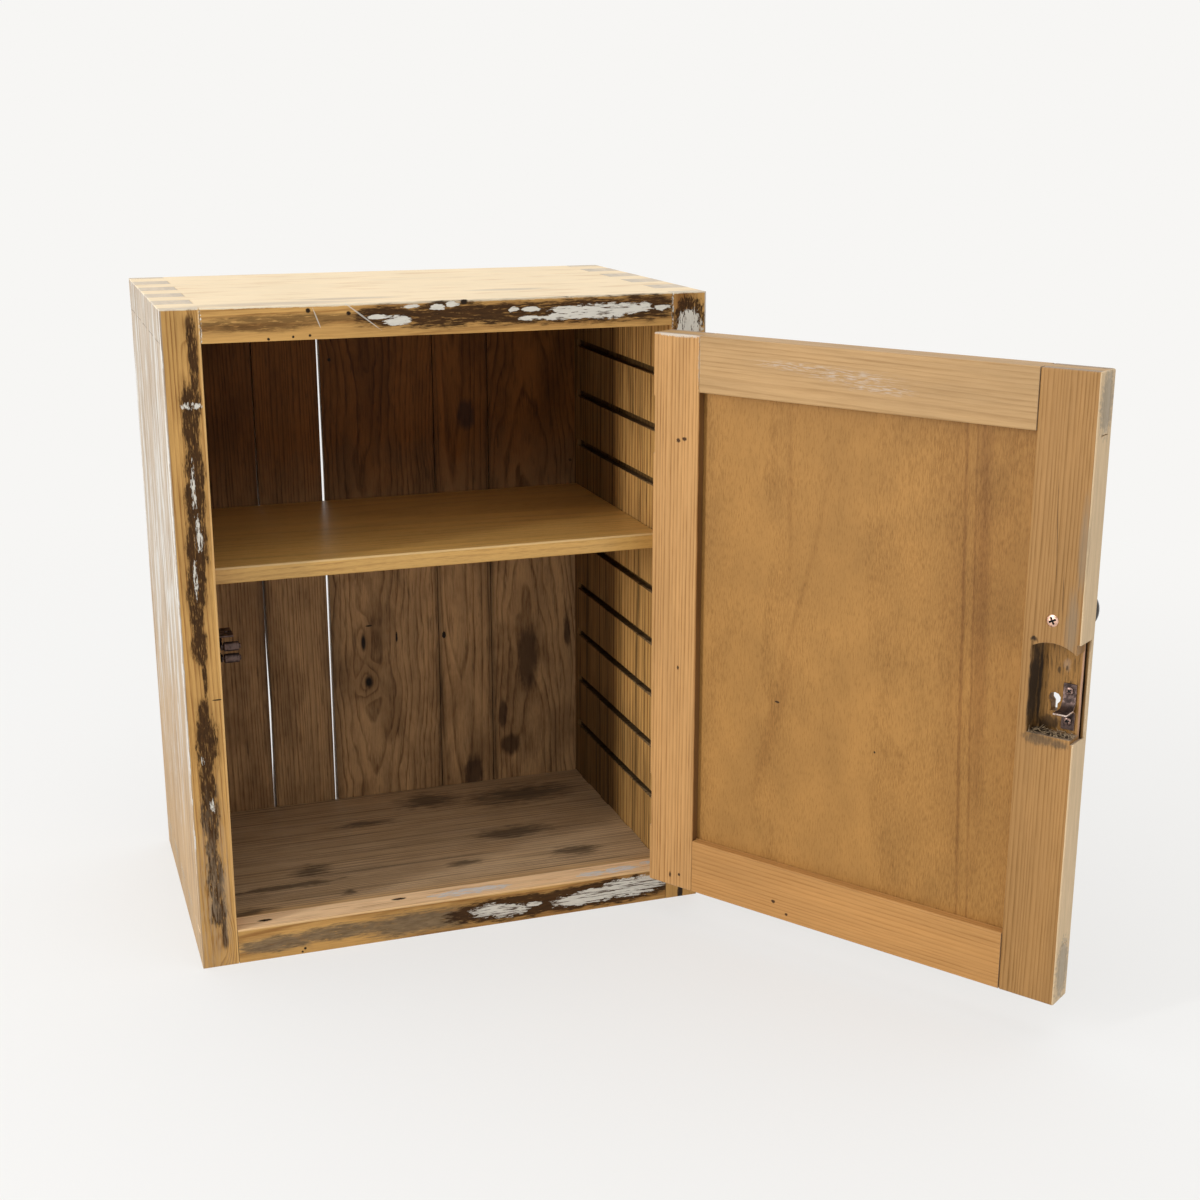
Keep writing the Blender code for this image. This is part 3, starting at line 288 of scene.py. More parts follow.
    for layer in look.get("layers", []):
        grit = noisy(place, layer["grit"], 5.0, 0.65)
        where = place
        if "bend" in layer:  # pulls the outline about, so that no patch is a plain oval
            pulled = noisy(place, layer["lump"], 2.0, 0.5)
            pulled = addNode(tree, "VectorMath", pulled.outputs["Color"], (0.5, 0.5, 0.5), operation="SUBTRACT")
            where = addNode(tree, "VectorMath", pulled, layer["bend"], place, operation="MULTIPLY_ADD")
        reach = None
        for spot in layer["spots"]:
            turn = (0, math.radians(spot[2]), 0) if len(spot) > 2 else (0, 0, 0)
            near = addNode(tree, "Mapping", where, spot[0], turn, spot[1], vector_type="TEXTURE")
            near = addNode(tree, "VectorMath", near, operation="LENGTH")
            reach = near if reach is None else addNode(tree, "Math", reach, near, operation="MINIMUM")
        loose = addNode(tree, "Math", grit, 0.5, operation="SUBTRACT")
        reach = addNode(tree, "Math", loose, 2 * layer["ragged"], reach, operation="MULTIPLY_ADD")
        soft = layer.get("soft", 0.08)
        mask = addNode(tree, "MapRange", reach, 1 - soft, 1 + soft, layer.get("strength", 1.0), 0.0,
                       interpolation_type="SMOOTHSTEP")
        if "streak" in layer:  # broken into streaks or flakes
            broken = noisy(place, layer["streak"], 4.0, 0.6)
            fade = layer.get("fade", 0.05)
            broken = addNode(tree, "MapRange", broken, layer["cover"] - fade, layer["cover"] + fade, 0.0, 1.0,
                             interpolation_type="SMOOTHSTEP")
            mask = addNode(tree, "Math", mask, broken, operation="MULTIPLY")
        if layer.get("stain"):  # tints the wood and lets its grain show
            laid = addNode(tree, "VectorMath", colour, linear(layer["hex"])[:3], operation="MULTIPLY")
        else:
            patchy = layer.get("patchy", 0.12)
            shade = addNode(tree, "MapRange", grit, 0.25, 0.75, 1 - patchy, 1 + patchy)
            laid = addNode(tree, "VectorMath", linear(layer["hex"])[:3], shade, operation="SCALE")
        colour = addNode(tree, "Mix", mask, colour, laid, data_type="RGBA")
        if "rough" in layer:
            rough = addNode(tree, "Mix", mask, rough, layer["rough"])
        if "rise" in layer:
            height = addNode(tree, "Math", mask, layer["rise"], height, operation="MULTIPLY_ADD")

    bump = addNode(tree, "Bump", look.get("relief", 0.35), 0.0004, None, height)
    shader = addNode(tree, "BsdfPrincipled", colour, 0.0, rough, 1.5)
    tree.links.new(bump.outputs[0], shader.inputs["Normal"])
    shader.inputs["Specular IOR Level"].default_value = look.get("gloss", 0.16)
    addNode(tree, "OutputMaterial", shader)
    return material


# in mm: how far back the upright faces stand and how high the floor is, then where the case's front edges start
# and how wide they are
faceAt = {"front": -119, "pocket": -111, "edge": -108.5, "panel": -105.5, "door": -98, "back": 100,
          "floor": 25.5}
caseEdge = {"left": -187, "leftWide": 25, "top": 437.5, "topWide": 22.5}


def marks(face, deep, *rows):  # (across, up, wide, tall) on an upright face, some with a turn in degrees
    return [((x, faceAt[face], z), (wide, deep, tall), *turn) for x, z, wide, tall, *turn in rows]


def floorMarks(tall, *rows):  # (across, back, wide, deep) on the floor of the case
    return [((x, y, faceAt["floor"]), (wide, deep, tall)) for x, y, wide, deep in rows]


# old white paint, rubbed down to streaks on the outside of the case
def rubbedPaint(x):
    outside = [((x, 0, 230), (0.9, 2000, 2000))]
    return [
        {"hex": "ab977e", "spots": outside, "grit": (14, 22, 90), "ragged": 0.3, "strength": 0.62,
         "rough": 0.75, "patchy": 0.25},
        {"hex": "b9b2a8", "spots": [((x, 0, 440), (0.9, 2000, 260))], "grit": (8, 10, 70), "ragged": 0.6,
         "soft": 0.5, "strength": 0.6, "patchy": 0.2},
        {"hex": "7d5f3c", "spots": outside, "grit": (9, 9, 40), "ragged": 0.3, "streak": (12, 5, 90),
         "cover": 0.58, "fade": 0.06, "strength": 0.5},
        {"hex": "c8c4bd", "spots": [((x, 0, 400), (0.9, 2000, 270))], "grit": (4, 5, 16), "ragged": 0.7,
         "soft": 0.4, "streak": (12, 9, 75), "cover": 0.545, "fade": 0.02, "rough": 0.62, "rise": 0.5,
         "strength": 0.9},
        {"hex": "d8d4cc", "spots": [((x, -115, 330), (0.9, 5, 170)), ((x, -117, 130), (0.9, 2.5, 70))],
         "grit": (2, 2, 14), "ragged": 0.9, "soft": 0.1, "streak": (4, 2, 22), "cover": 0.47, "fade": 0.03,
         "rise": 0.5},
    ]


def alongLeft(f, z, wide, tall):  # a place across the left side's front edge, in shares of its width
    edge = caseEdge["leftWide"]
    return ((caseEdge["left"] + edge * f, faceAt["front"], z), (edge * wide, 3, tall))


def jointPaint(x):  # specks of white left where a side meets the top
    return {"hex": "e4dfd4", "spots": marks("front", 1.5, (x, 449, 0.9, 13)), "grit": (0.8, 1, 1.3),
            "ragged": 1.7, "soft": 0.15, "streak": (1.2, 1.2, 1.8), "cover": 0.5, "fade": 0.04}


topFace = [((0, 0, 460.2), (3000, 3000, 1.0))]
topWash = {"hex": "d3c5b1", "spots": topFace, "grit": (5, 9, 9), "ragged": 0.25, "strength": 0.85,
           "patchy": 0.15}
topArris = {"hex": "e8dcc2", "spots": marks("front", 1.7, (0, 460, 188, 1.5)), "grit": (5, 2, 2), "ragged": 0.5,
            "strength": 0.75}
sideLook = {"grain": "z", "lean": (0.5, 0.4), "ring": 2.6, "wander": 5.0, "early": "c79a5a", "late": "86592a",
            "contrast": 0.75, "fibre": 0.26, "tone": 0.13, "rough": 0.55, "knot": "3a2413", "end": "b39d7c",
            "endDirt": 0.5}
brownPrimer = {"hex": "3a230c", "grit": (1.3, 3, 7), "ragged": 0.8, "soft": 0.2, "patchy": 0.55, "rough": 0.7,
               "strength": 0.96, "bend": (4, 0, 14), "lump": (7, 7, 22), "streak": (0.7, 2, 5), "cover": 0.38,
               "fade": 0.08}
primerHalo = {"hex": "7b5629", "grit": (1.0, 3, 12), "ragged": 0.8, "soft": 0.6, "patchy": 0.4, "strength": 0.6,
              "bend": (4, 0, 14), "lump": (7, 7, 22)}
whitePaint = {"hex": "d6d1c5", "ragged": 0.85, "soft": 0.07, "rough": 0.5, "rise": 1.2, "patchy": 0.1}
leftBand = [(0.78, 428, 0.13, 26), (0.64, 400, 0.25, 14), (0.63, 380, 0.19, 19), (0.64, 356, 0.25, 19),
            (0.60, 332, 0.26, 21), (0.57, 305, 0.27, 23), (0.50, 278, 0.25, 19), (0.45, 258, 0.17, 17),
            (0.48, 236, 0.2, 12), (0.55, 214, 0.06, 15), (0.48, 190, 0.15, 11), (0.50, 168, 0.28, 21),
            (0.46, 138, 0.22, 21), (0.46, 112, 0.23, 21), (0.43, 90, 0.15, 13), (0.49, 66, 0.23, 23),
            (0.52, 42, 0.23, 13), (0.66, 28, 0.07, 11)]
leftSide = dict(sideLook, pith=(-50, 60), knots=[
    ((-169.5, -119, 451), "y", 1.8, 5.0), ((-170.5, -119, 19), "y", 2.2, 6.0)],
    layers=[
    {"hex": "8d7450", "stain": True, "spots": [((-162, 6, 230), (8, 104, 3000))], "grit": (20, 20, 60),
     "ragged": 0.03},
    *rubbedPaint(caseEdge["left"]), topWash, topArris, jointPaint(-162),
    dict(primerHalo, spots=[alongLeft(f, z, wide * 1.15, tall * 1.1) for f, z, wide, tall in leftBand]),
    dict(brownPrimer, spots=[alongLeft(*s) for s in leftBand]),
    dict(whitePaint, spots=[alongLeft(*s) for s in (
        (0.58, 344, 0.05, 16), (0.62, 318, 0.05, 9), (0.64, 308, 0.09, 7), (0.48, 284, 0.05, 11),
        (0.66, 398, 0.24, 2.0), (0.54, 121, 0.06, 5), (0.36, 155, 0.04, 3))],
        grit=(0.8, 2, 4), ragged=1.6, soft=0.12, streak=(1.0, 2, 6), cover=0.47, fade=0.03),
    {"hex": "b29c80", "spots": [alongLeft(0.3, 45, 0.3, 60), alongLeft(0.75, 60, 0.12, 60)],
     "grit": (1.5, 3, 18), "ragged": 0.9, "soft": 0.7, "strength": 0.4, "streak": (1.0, 2, 14), "cover": 0.47,
     "fade": 0.08},
    {"hex": "2a1a0c", "spots": marks("front", 2, (-165.5, 197.5, 3.4, 0.5)), "grit": (1, 1, 1), "ragged": 0.8},
    # painted highlight: a pale line down the inner front arris of the left side
    {"hex": "dcb274", "spots": marks("front", 1.1, (-162.3, 230, 1.1, 400)), "grit": (3, 3, 30), "ragged": 0.4,
     "strength": 0.6},
])
rightWall = {"grit": (20, 3, 90), "ragged": 0.02, "soft": 0.04, "patchy": 0.3}
rightSide = dict(sideLook, pith=(-330, -165), ring=6.5, contrast=1.0, wander=2.5, layers=[
    dict(rightWall, hex="2c1b0c", spots=[((162, 6, 230), (7, 104, 3000))], streak=(30, 2.4, 140), cover=0.57,
         fade=0.04, strength=0.7),
    # painted shade: the back part of the right wall, behind the window's shadow edge, is stained darker
    dict(rightWall, hex="b6b4bc", stain=True, spots=[((162, 55, 230), (7, 57, 3000))], soft=0.1),
    dict(rightWall, hex="dcdcdc", stain=True, spots=[((162, 6, 50), (7, 104, 75))], soft=0.3),
    # painted shade: the floors and sides of the shelf grooves are darkened for the shade in them
    dict(rightWall, hex="20140a", spots=[((168, 6, 230), (5.4, 104, 3000))], grit=(8, 9, 2), ragged=0.25,
         strength=0.75),
    *rubbedPaint(-caseEdge["left"]), topWash, topArris, jointPaint(162),
    dict(brownPrimer, spots=marks("front", 3, (174, 443, 11.5, 14)), grit=(1.4, 3, 4), streak=(0.9, 2, 4),
         bend=(3, 0, 3), lump=(6, 6, 6)),
    dict(whitePaint, spots=marks("front", 2, (174.8, 437, 8.7, 10.5)), grit=(1.2, 2, 5), bend=(3, 0, 3),
         lump=(4, 4, 4), streak=(1.0, 2, 5), cover=0.41, fade=0.03),
    {"hex": "2f2318", "spots": marks("front", 2, (173.7, 4, 2.2, 7)), "grit": (1, 2, 6), "ragged": 0.5,
     "soft": 0.3},
])
endLook = {"grain": "x", "lean": (0.8, 0.5), "ring": 3.0, "wander": 6.0, "early": "c79a5a", "late": "86592a",
           "contrast": 0.72, "fibre": 0.26, "tone": 0.12, "rough": 0.55, "knot": "3a2413", "end": "a89070",
           "endDirt": 0.45}


def alongTop(x, share, wide, tall, *turn):  # a place on the top's front edge, shares of its height from below
    edge = caseEdge["topWide"]
    return ((x, faceAt["front"], caseEdge["top"] + edge * share), (wide, 2.5, edge * tall), *turn)


acrossPrimer = dict(brownPrimer, grit=(9, 3, 1.3), bend=(14, 0, 4), lump=(18, 7, 7), streak=(7, 2, 0.8))
acrossHalo = dict(primerHalo, grit=(14, 3, 1.0), bend=(14, 0, 4), lump=(18, 7, 7))
acrossPaint = dict(whitePaint, grit=(6, 2, 1.3), bend=(8, 0, 2.5), lump=(9, 5, 4), streak=(10, 2, 0.9),
                   cover=0.39, fade=0.03)
topBand = [(-39, 0.6, 22, 0.31), (0, 0.58, 36, 0.35), (45, 0.55, 42, 0.33), (95, 0.55, 52, 0.37),
           (140, 0.58, 24, 0.39)]
paintedEnds = rubbedPaint(caseEdge["left"]) + rubbedPaint(-caseEdge["left"])
topWear = {"spots": topFace, "grit": (60, 60, 20), "ragged": 0.2}
topBoard = dict(endLook, pith=(40, 380), layers=paintedEnds + [
    dict(topWear, hex="f7e4c2", strength=0.82, patchy=0.06, rough=0.6),
    dict(topWear, hex="c99f70", streak=(60, 12, 20), cover=0.62, fade=0.1, strength=0.5),
    {"hex": "a99c90", "spots": [((-112, -104, 460.2), (52, 10, 1.2)), ((-60, -86, 460.2), (30, 7, 1.2)),
                                ((60, -60, 460.2), (26, 6, 1.2))],
     "grit": (30, 4, 4), "ragged": 1.0, "soft": 0.6, "strength": 0.5},
    topArris, jointPaint(-162), jointPaint(162),
    dict(acrossHalo, spots=[alongTop(x, share, wide * 1.1, tall * 1.15) for x, share, wide, tall in topBand]),
    dict(acrossPrimer, hex="5d4020", spots=[alongTop(*s) for s in (
        (-110, 0.62, 42, 0.14), (-125, 0.45, 38, 0.15), (-68, 0.6, 32, 0.11), (-150, 0.55, 14, 0.1))],
        soft=0.5, strength=0.75),
    dict(acrossPrimer, spots=[alongTop(*s) for s in topBand]),
    dict(acrossPaint, spots=[alongTop(*s) for s in (
        (104, 0.52, 30, 0.22), (84, 0.4, 16, 0.11), (90, 0.6, 18, 0.09), (128, 0.56, 18, 0.15),
        (59, 0.66, 8, 0.08), (59, 0.38, 8, 0.08), (141, 0.62, 6, 0.12), (154, 0.55, 6, 0.08),
        (-33, 0.45, 9, 0.14), (-45, 0.58, 9, 0.07), (-24, 0.86, 5, 0.06), (-7, 0.82, 5, 0.1),
        (3, 0.88, 4, 0.09), (46, 0.66, 3, 0.08))]),
    dict(whitePaint, spots=[alongTop(*s) for s in ((-58, 0.66, 16, 0.022, 38), (-87, 0.6, 7, 0.018, 70))],
         grit=(3, 2, 3), ragged=0.5, strength=0.6),
    {"hex": "24170b", "spots": [alongTop(*s) for s in (
        (-92.6, 0.84, 1.6, 0.07), (-66, 0.72, 1.5, 0.06), (-92, 0.12, 0.9, 0.04), (-119, 0.06, 0.9, 0.04),
        (-103, 0.1, 0.8, 0.04), (12, 0.94, 2.5, 0.08))],
     "grit": (1, 1, 1), "ragged": 0.6, "soft": 0.3},
])
floorWear = {"spots": floorMarks(6, (0, 101, 3000, 199)), "grit": (50, 20, 20), "ragged": 0.02}
lipWear = {"spots": floorMarks(1.5, (0, -109, 3000, 10.5)), "grit": (40, 3, 3), "ragged": 0.06, "soft": 0.04}
bottomBoard = dict(endLook, pith=(230, -60), ring=3.4, contrast=0.85, layers=paintedEnds + [
    dict(floorWear, hex="b8a790", strength=0.55, patchy=0.25),
    dict(floorWear, hex="3a2c20", streak=(170, 1.0, 20), cover=0.56, fade=0.05, strength=0.6),
    {"hex": "342a22", "spots": floorMarks(2, (-94, -36, 13, 9), (-120, -58, 45, 4), (22, 72, 22, 14),
                                          (70, -15, 26, 10), (105, -66, 16, 8), (100, 60, 40, 18),
                                          (-75, -83, 4, 3), (-150, -92, 14, 5), (-40, 40, 22, 5),
                                          (20, -60, 14, 4)),
     "grit": (18, 3, 5), "ragged": 1.5, "soft": 0.6, "strength": 0.7, "patchy": 0.4, "bend": (20, 10, 0),
     "lump": (18, 9, 9)},
    dict(lipWear, hex="f4d0a4", strength=0.88, patchy=0.16),
    dict(lipWear, hex="a87443", streak=(40, 1.6, 4), cover=0.6, fade=0.08, strength=0.5),
    dict(acrossHalo, spots=marks("front", 2.5, (20, 11.5, 85, 10), (115, 12, 60, 11))),
    dict(acrossPrimer, hex="6f5f4a", strength=0.85, soft=0.35, cover=0.34,
         spots=marks("front", 2.5, (-135, 11, 28, 6), (-90, 13, 42, 5.5), (-30, 11, 46, 8.5))),
    dict(acrossPrimer, soft=0.12, ragged=0.5, cover=0.3,
         spots=marks("front", 2.5, (40, 11.5, 52, 9), (80, 11.5, 30, 9), (120, 12.5, 50, 10))),
    dict(acrossPaint, streak=(18, 2, 0.7), cover=0.42,
         spots=marks("front", 2, (30, 10.5, 20, 5.5, 4), (57, 12, 6, 2), (100, 11, 27, 5.5, -3),
                     (136, 14, 27, 7.5))),
    {"hex": "d6d1cc", "spots": floorMarks(1.5, (10, -110, 29, 4.5), (104, -111, 10, 4), (128, -110, 12, 4.5),
                                          (150, -106, 5, 2.5)),
     "grit": (8, 2, 2), "ragged": 0.9, "soft": 0.1, "rise": 1.2, "bend": (8, 4, 0), "lump": (9, 5, 5),
     "streak": (9, 1.3, 2), "cover": 0.43},
    # painted highlight: a pale line along the bottom board's top front arris
    {"hex": "e6bf8a", "spots": marks("front", 1.4, (0, faceAt["floor"], 600, 1.4)), "grit": (30, 3, 3),
     "ragged": 0.35, "strength": 0.7},
    {"hex": "2a1d12", "spots": marks("front", 2, (-115, 4, 1, 1), (-117, 1.6, 0.8, 0.8))
     + floorMarks(1, (-141, -109, 5, 1.6), (-43, -106, 5, 1.6)), "grit": (2, 1, 1), "ragged": 0.6, "soft": 0.3},
])

# painted shade: the back boards above the shelf are stained darker, standing for the shade in the upper
# compartment
shadedUpperBack = {"hex": "a8885c", "stain": True, "spots": marks("back", 3, (0, 480, 600, 200)), "grit": (30, 30, 60),
           "ragged": 0.2, "soft": 0.3}
backWear = {"spots": marks("back", 2, (0, 230, 600, 600)), "grit": (9, 9, 9), "ragged": 0.1}
backGrime = dict(backWear, hex="1f140a", streak=(3, 3, 26), cover=0.66, fade=0.1, strength=0.5)
smokedBack = dict(backWear, hex="8f8070", stain=True, streak=(30, 30, 60), cover=0.54, fade=0.12, strength=0.45)
seamDirt = {"hex": "1c120a", "spots": marks("back", 3, (-101.5, 130, 4, 190), (-49, 140, 6, 220),
                                            (41.9, 150, 3, 230), (87.5, 150, 3, 230)),
            "grit": (4, 4, 22), "ragged": 1.0, "soft": 0.8, "strength": 0.4, "patchy": 0.3}
agedOutside = {"hex": "a99c8a", "stain": True, "spots": [((0, 119, 230), (3000, 1.5, 3000))],
               "grit": (12, 12, 60), "ragged": 0.3, "strength": 0.85}
# the back's ageing, smoke, grime and seam dirt, with the painted shade above the shelf
agedAndShadedBack = [shadedUpperBack, smokedBack, backGrime, seamDirt, agedOutside]
backLook = {"grain": "z", "lean": (0.5, 0.5), "ring": 2.9, "wander": 7.0, "early": "c0996c", "late": "634527",
            "contrast": 0.7, "fibre": 0.32, "tone": 0.2, "rough": 0.6, "knot": "1f1309", "end": "6a4f33",
            "strand": (16, 0.8, 0.8), "layers": agedAndShadedBack}
backBlot = {"ragged": 0.5, "soft": 0.35, "strength": 0.8}
backBoards = {
    "back_board_1": dict(backLook, pith=(100, 520), early="bd966a"),
    "back_board_2": dict(backLook, pith=(112, 430), ring=2.7, start=90),
    "back_board_3": dict(backLook, pith=(134, 14), ring=3.6, lean=(0.3, 2.6), wander=17.0, sway=(100, 34, 34),
                         knots=[((-22, 100, 160), "y", 2.0, 7.5), ((-18.6, 100, 125.6), "y", 3.2, 5.0)],
                         layers=[
        *agedAndShadedBack,
        {"hex": "1a1008", "grit": (2, 2, 3), "ragged": 0.6, "soft": 0.3,
         "spots": marks("back", 2, (-40.7, 394, 1.3, 1.3), (-17, 174, 2.6, 0.7), (6, 162, 0.8, 5))}]),
    "back_board_4": dict(backLook, pith=(122, -60), ring=4.2, lean=(0.2, 1.7), wander=12.0, start=-60, layers=[
        *agedAndShadedBack,
        dict(backBlot, hex="35221a", spots=marks("back", 2, (70, 34, 8, 15), (69, 345, 7, 12)), grit=(4, 4, 12),
             bend=(4, 0, 6), lump=(9, 9, 14)),
        {"hex": "1c120a", "spots": marks("back", 2, (46.3, 160, 1.6, 3)), "grit": (1, 1, 2), "ragged": 0.4}]),
    "back_board_5": dict(backLook, pith=(136, -120), ring=3.4, lean=(0.4, -2.8), wander=15.0,
                         sway=(110, 36, 36), start=200, layers=[
        *agedAndShadedBack,
        dict(backBlot, hex="3a2518", grit=(4, 4, 16), bend=(4, 0, 8), lump=(9, 9, 16),
             spots=marks("back", 2, (119, 134, 8.5, 28), (96.5, 85, 3.4, 14), (103, 56, 8, 9),
                         (154.6, 153, 3.4, 13), (158, 302, 1.5, 1.5)))]),
}

doorLook = {"door": True, "early": "c4935a", "late": "9a6a36", "contrast": 0.6, "fibre": 0.2, "tone": 0.09,
            "rough": 0.48, "wander": 3.0, "knot": "5a3a1e", "lean": (0.3, 0.3), "end": "9b9184", "endDirt": 0.6}
creamEdge = {"hex": "e2c8a2", "spots": marks("edge", 200, (-159.9, 230, 1.2, 2000)), "grit": (4, 3, 40),
             "ragged": 0.35, "strength": 0.8, "patchy": 0.14, "rough": 0.6}
greyedEdge = {"hex": "8f877b", "spots": marks("edge", 9, (-159.9, 417, 1.5, 19), (-159.9, 50, 1.5, 20)),
              "grit": (2, 3, 3), "ragged": 1.0, "soft": 0.3, "strength": 0.6}


def outsidePaint(y, grain="z"):  # the front of the door keeps the same worn finish as the case
    outside = [((0, y, 230), (2000, 0.9, 2000))]

    def along(across, far):
        return (far, across, across) if grain == "x" else (across, across, far)

    return [
        {"hex": "ab977e", "spots": outside, "grit": along(22, 90), "ragged": 0.3, "strength": 0.6,
         "patchy": 0.25, "rough": 0.75},
        {"hex": "7d5f3c", "spots": outside, "grit": along(9, 40), "ragged": 0.3, "streak": along(5, 90),
         "cover": 0.58, "fade": 0.06, "strength": 0.5},
        {"hex": "c8c4bd", "spots": outside, "grit": along(5, 16), "ragged": 0.5, "streak": along(8, 70),
         "cover": 0.57, "fade": 0.03, "rough": 0.62, "rise": 0.5, "strength": 0.9},
    ]


railJoint = {"hex": "cbbfae", "spots": marks("door", 1.5, (121.8, 417, 0.8, 19)), "grit": (1, 1, 2),
             "ragged": 1.7, "soft": 0.2, "strength": 0.4}
hingeStile = dict(doorLook, grain="z", pith=(-108, -420), ring=2.9, early="c69760", late="976a38",
                  contrast=0.85, layers=outsidePaint(faceAt["front"]) + [
    # painted shadow: the stile's edge beside the panel is darkened for the shadow in the gap
    {"hex": "4f341a", "spots": [((121.5, -108, 232), (1.0, 9.2, 2000))], "grit": (2, 2, 20), "ragged": 0.15,
     "strength": 0.75},
    railJoint,
    {"hex": "cfc6b8", "spots": marks("door", 1.7, (141, 435.5, 20, 1.7)), "grit": (0.8, 0.8, 0.8),
     "ragged": 1.2, "soft": 0.2, "strength": 0.8},
    {"hex": "4a3018", "spots": marks("door", 2, (138, 362.5, 1.5, 1.5), (133, 364, 1.8, 1.3),
                                     (136, 198, 0.9, 1.4), (140.6, 36, 0.9, 2.2), (132.5, 38, 1.0, 1.2)),
     "grit": (1, 1, 1), "ragged": 0.8, "soft": 0.3},
])
pocketWear = {"spots": [((-143, -112, 238), (15, 6, 38))], "grit": (1.6, 3, 16), "ragged": 0.3, "soft": 0.15}
lockStile = dict(doorLook, grain="z", pith=(-108, 560), ring=2.4, lean=(0.3, 0.3), early="a87e4c",
                 late="785325", contrast=0.65, layers=outsidePaint(faceAt["front"]) + [
    creamEdge, greyedEdge,
    {"hex": "857a68", "spots": marks("door", 2, (-153, 280, 3.5, 20), (-157, 330, 3, 26)),
     "grit": (2, 2, 14), "ragged": 0.7, "soft": 0.6, "strength": 0.5},
    dict(pocketWear, hex="8f6631", strength=0.7, patchy=0.45),
    dict(pocketWear, hex="4a3216", streak=(1.1, 3, 13), cover=0.56, fade=0.06, strength=0.65),
    {"hex": "b59a80", "spots": marks("pocket", 2, (-147, 252, 2.4, 3.6)), "grit": (2, 2, 3), "ragged": 1.0,
     "soft": 0.5, "strength": 0.35},
    {"hex": "c39a83", "spots": [((-157.3, -111.3, 237), (1.1, 1.1, 31))], "grit": (2, 2, 14), "ragged": 0.5,
     "soft": 0.3, "strength": 0.7},
    # painted shade: the narrow slot beside the rebate is drawn near black
    {"hex": "150d08", "spots": [((-155.2, -113.5, 237), (3.4, 1.7, 200))], "grit": (3, 3, 12), "ragged": 0.12,
     "soft": 0.15},
    # painted shade: the pocket's side wall, its foot and its top corner are darkened
    {"hex": "1d1309", "spots": [((-128.8, -104, 236), (1.2, 9, 34)), ((-130.0, -111, 236), (1.3, 3, 33)),
                                ((-134, -106, 209), (8, 7, 4)), ((-146, -103, 208.5), (13, 4, 2.5)),
                                ((-129.5, -98.5, 267.5), (2, 2, 1.8))],
     "grit": (1.4, 3, 9), "ragged": 0.8, "soft": 0.5, "strength": 0.92, "bend": (1.4, 0, 8),
     "lump": (6, 6, 12)},
    {"hex": "4f351b", "spots": marks("door", 2, (-139.4, 339, 0.3, 32, 3.2), (-146, 300, 0.3, 14, 1.5)),
     "grit": (1.5, 2, 14), "ragged": 0.9, "soft": 0.5, "strength": 0.7},
    {"hex": "5a4a38", "spots": marks("door", 2, (-138, 204.5, 10, 3.5), (-150, 204, 6, 2.5)),
     "grit": (1.4, 2, 4), "ragged": 1.2, "soft": 0.5, "strength": 0.75, "patchy": 0.5},
    {"hex": "2a1c0e", "spots": marks("pocket", 2, (-142, 248, 1.2, 2.4), (-147, 250, 0.8, 1.6),
                                     (-150, 238, 0.8, 4), (-138, 213, 7, 4)),
     "grit": (1.6, 2, 4), "ragged": 1.0, "soft": 0.4, "strength": 0.75},
])
topRail = dict(doorLook, grain="x", pith=(-60, 380), ring=2.6, lean=(0.5, 0.7), early="b99567", late="947044",
               contrast=0.5, layers=outsidePaint(faceAt["front"], "x") + [
    creamEdge, greyedEdge, railJoint,
    {"hex": "c9c1bb", "spots": marks("door", 2, (45, 421, 26, 2.6), (5, 418, 30, 4), (-16, 412, 24, 2.5)),
     "grit": (14, 3, 1.2), "ragged": 1.0, "soft": 0.6, "strength": 0.42, "bend": (6, 0, 1), "lump": (14, 6, 5),
     "streak": (8, 2, 0.8), "cover": 0.53, "fade": 0.06},
])
bottomRail = dict(doorLook, grain="x", pith=(-60, 110), ring=2.6, lean=(0.5, 0.7), early="bd8c53",
                  layers=outsidePaint(faceAt["front"], "x") + [
    creamEdge, greyedEdge,
    {"hex": "4a2f18", "spots": marks("door", 2, (51, 40, 1.6, 1.2), (40, 33, 1.2, 1)),
     "grit": (2, 1, 1), "ragged": 0.6, "soft": 0.3},
])
# birch plywood: peeled from the log, so the eye gets broad faint rings and short flecks
doorPanel = dict(doorLook, grain="z", pith=(-300, 60), ring=34.0, wander=60.0, sway=(160, 60, 60),
                 early="a77a41", late="7d5527", contrast=0.3, fibre=0.62, tone=0.1, strand=(4.5, 0.8, 0.8),
                 cloud=(40, 26, 26), patch=(50, 30, 30), relief=0.25, layers=outsidePaint(-111.5) + [
    {"hex": "d4c8c2", "stain": True,
     "spots": marks("panel", 2, (-79, 240, 1.2, 200, 2), (-86, 250, 1.0, 200, 2), (-90, 290, 5, 140, 2)),
     "grit": (2, 3, 40), "ragged": 0.8, "soft": 0.7, "strength": 0.75, "bend": (3, 0, 0), "lump": (30, 30, 60)},
    {"hex": "dcd3cb", "stain": True,
     "spots": marks("panel", 2, (-74, 280, 10, 140, 2), (-104, 290, 12, 130, 2), (44, 250, 1.6, 80, -13),
                    (60, 170, 5, 50, -16), (52, 340, 1.6, 60, 2)),
     "grit": (3, 3, 40), "ragged": 0.9, "soft": 0.9, "strength": 0.45, "bend": (6, 0, 0), "lump": (30, 30, 60)},
    {"hex": "3f2a17", "spots": marks("panel", 2, (57, 186.5, 1.8, 0.8), (-20, 167, 0.8, 0.8)),
     "grit": (1, 1, 1), "ragged": 0.6, "soft": 0.3},
])
shelfLook = {"grain": "x", "pith": (30, 120), "lean": (0.5, 0.4), "ring": 4.0, "wander": 9.0, "early": "cfa35c",
             "late": "9a6c32", "contrast": 0.45, "fibre": 0.36, "tone": 0.09, "rough": 0.33, "gloss": 0.4,
             "knot": "6b4522", "relief": 0.15, "strand": (8, 0.7, 0.7), "layers": [
    {"hex": "dcc08c", "spots": [((0, -96.5, 283.3), (600, 1.3, 1.3))], "grit": (12, 2, 2), "ragged": 0.3,
     "strength": 0.6}]}

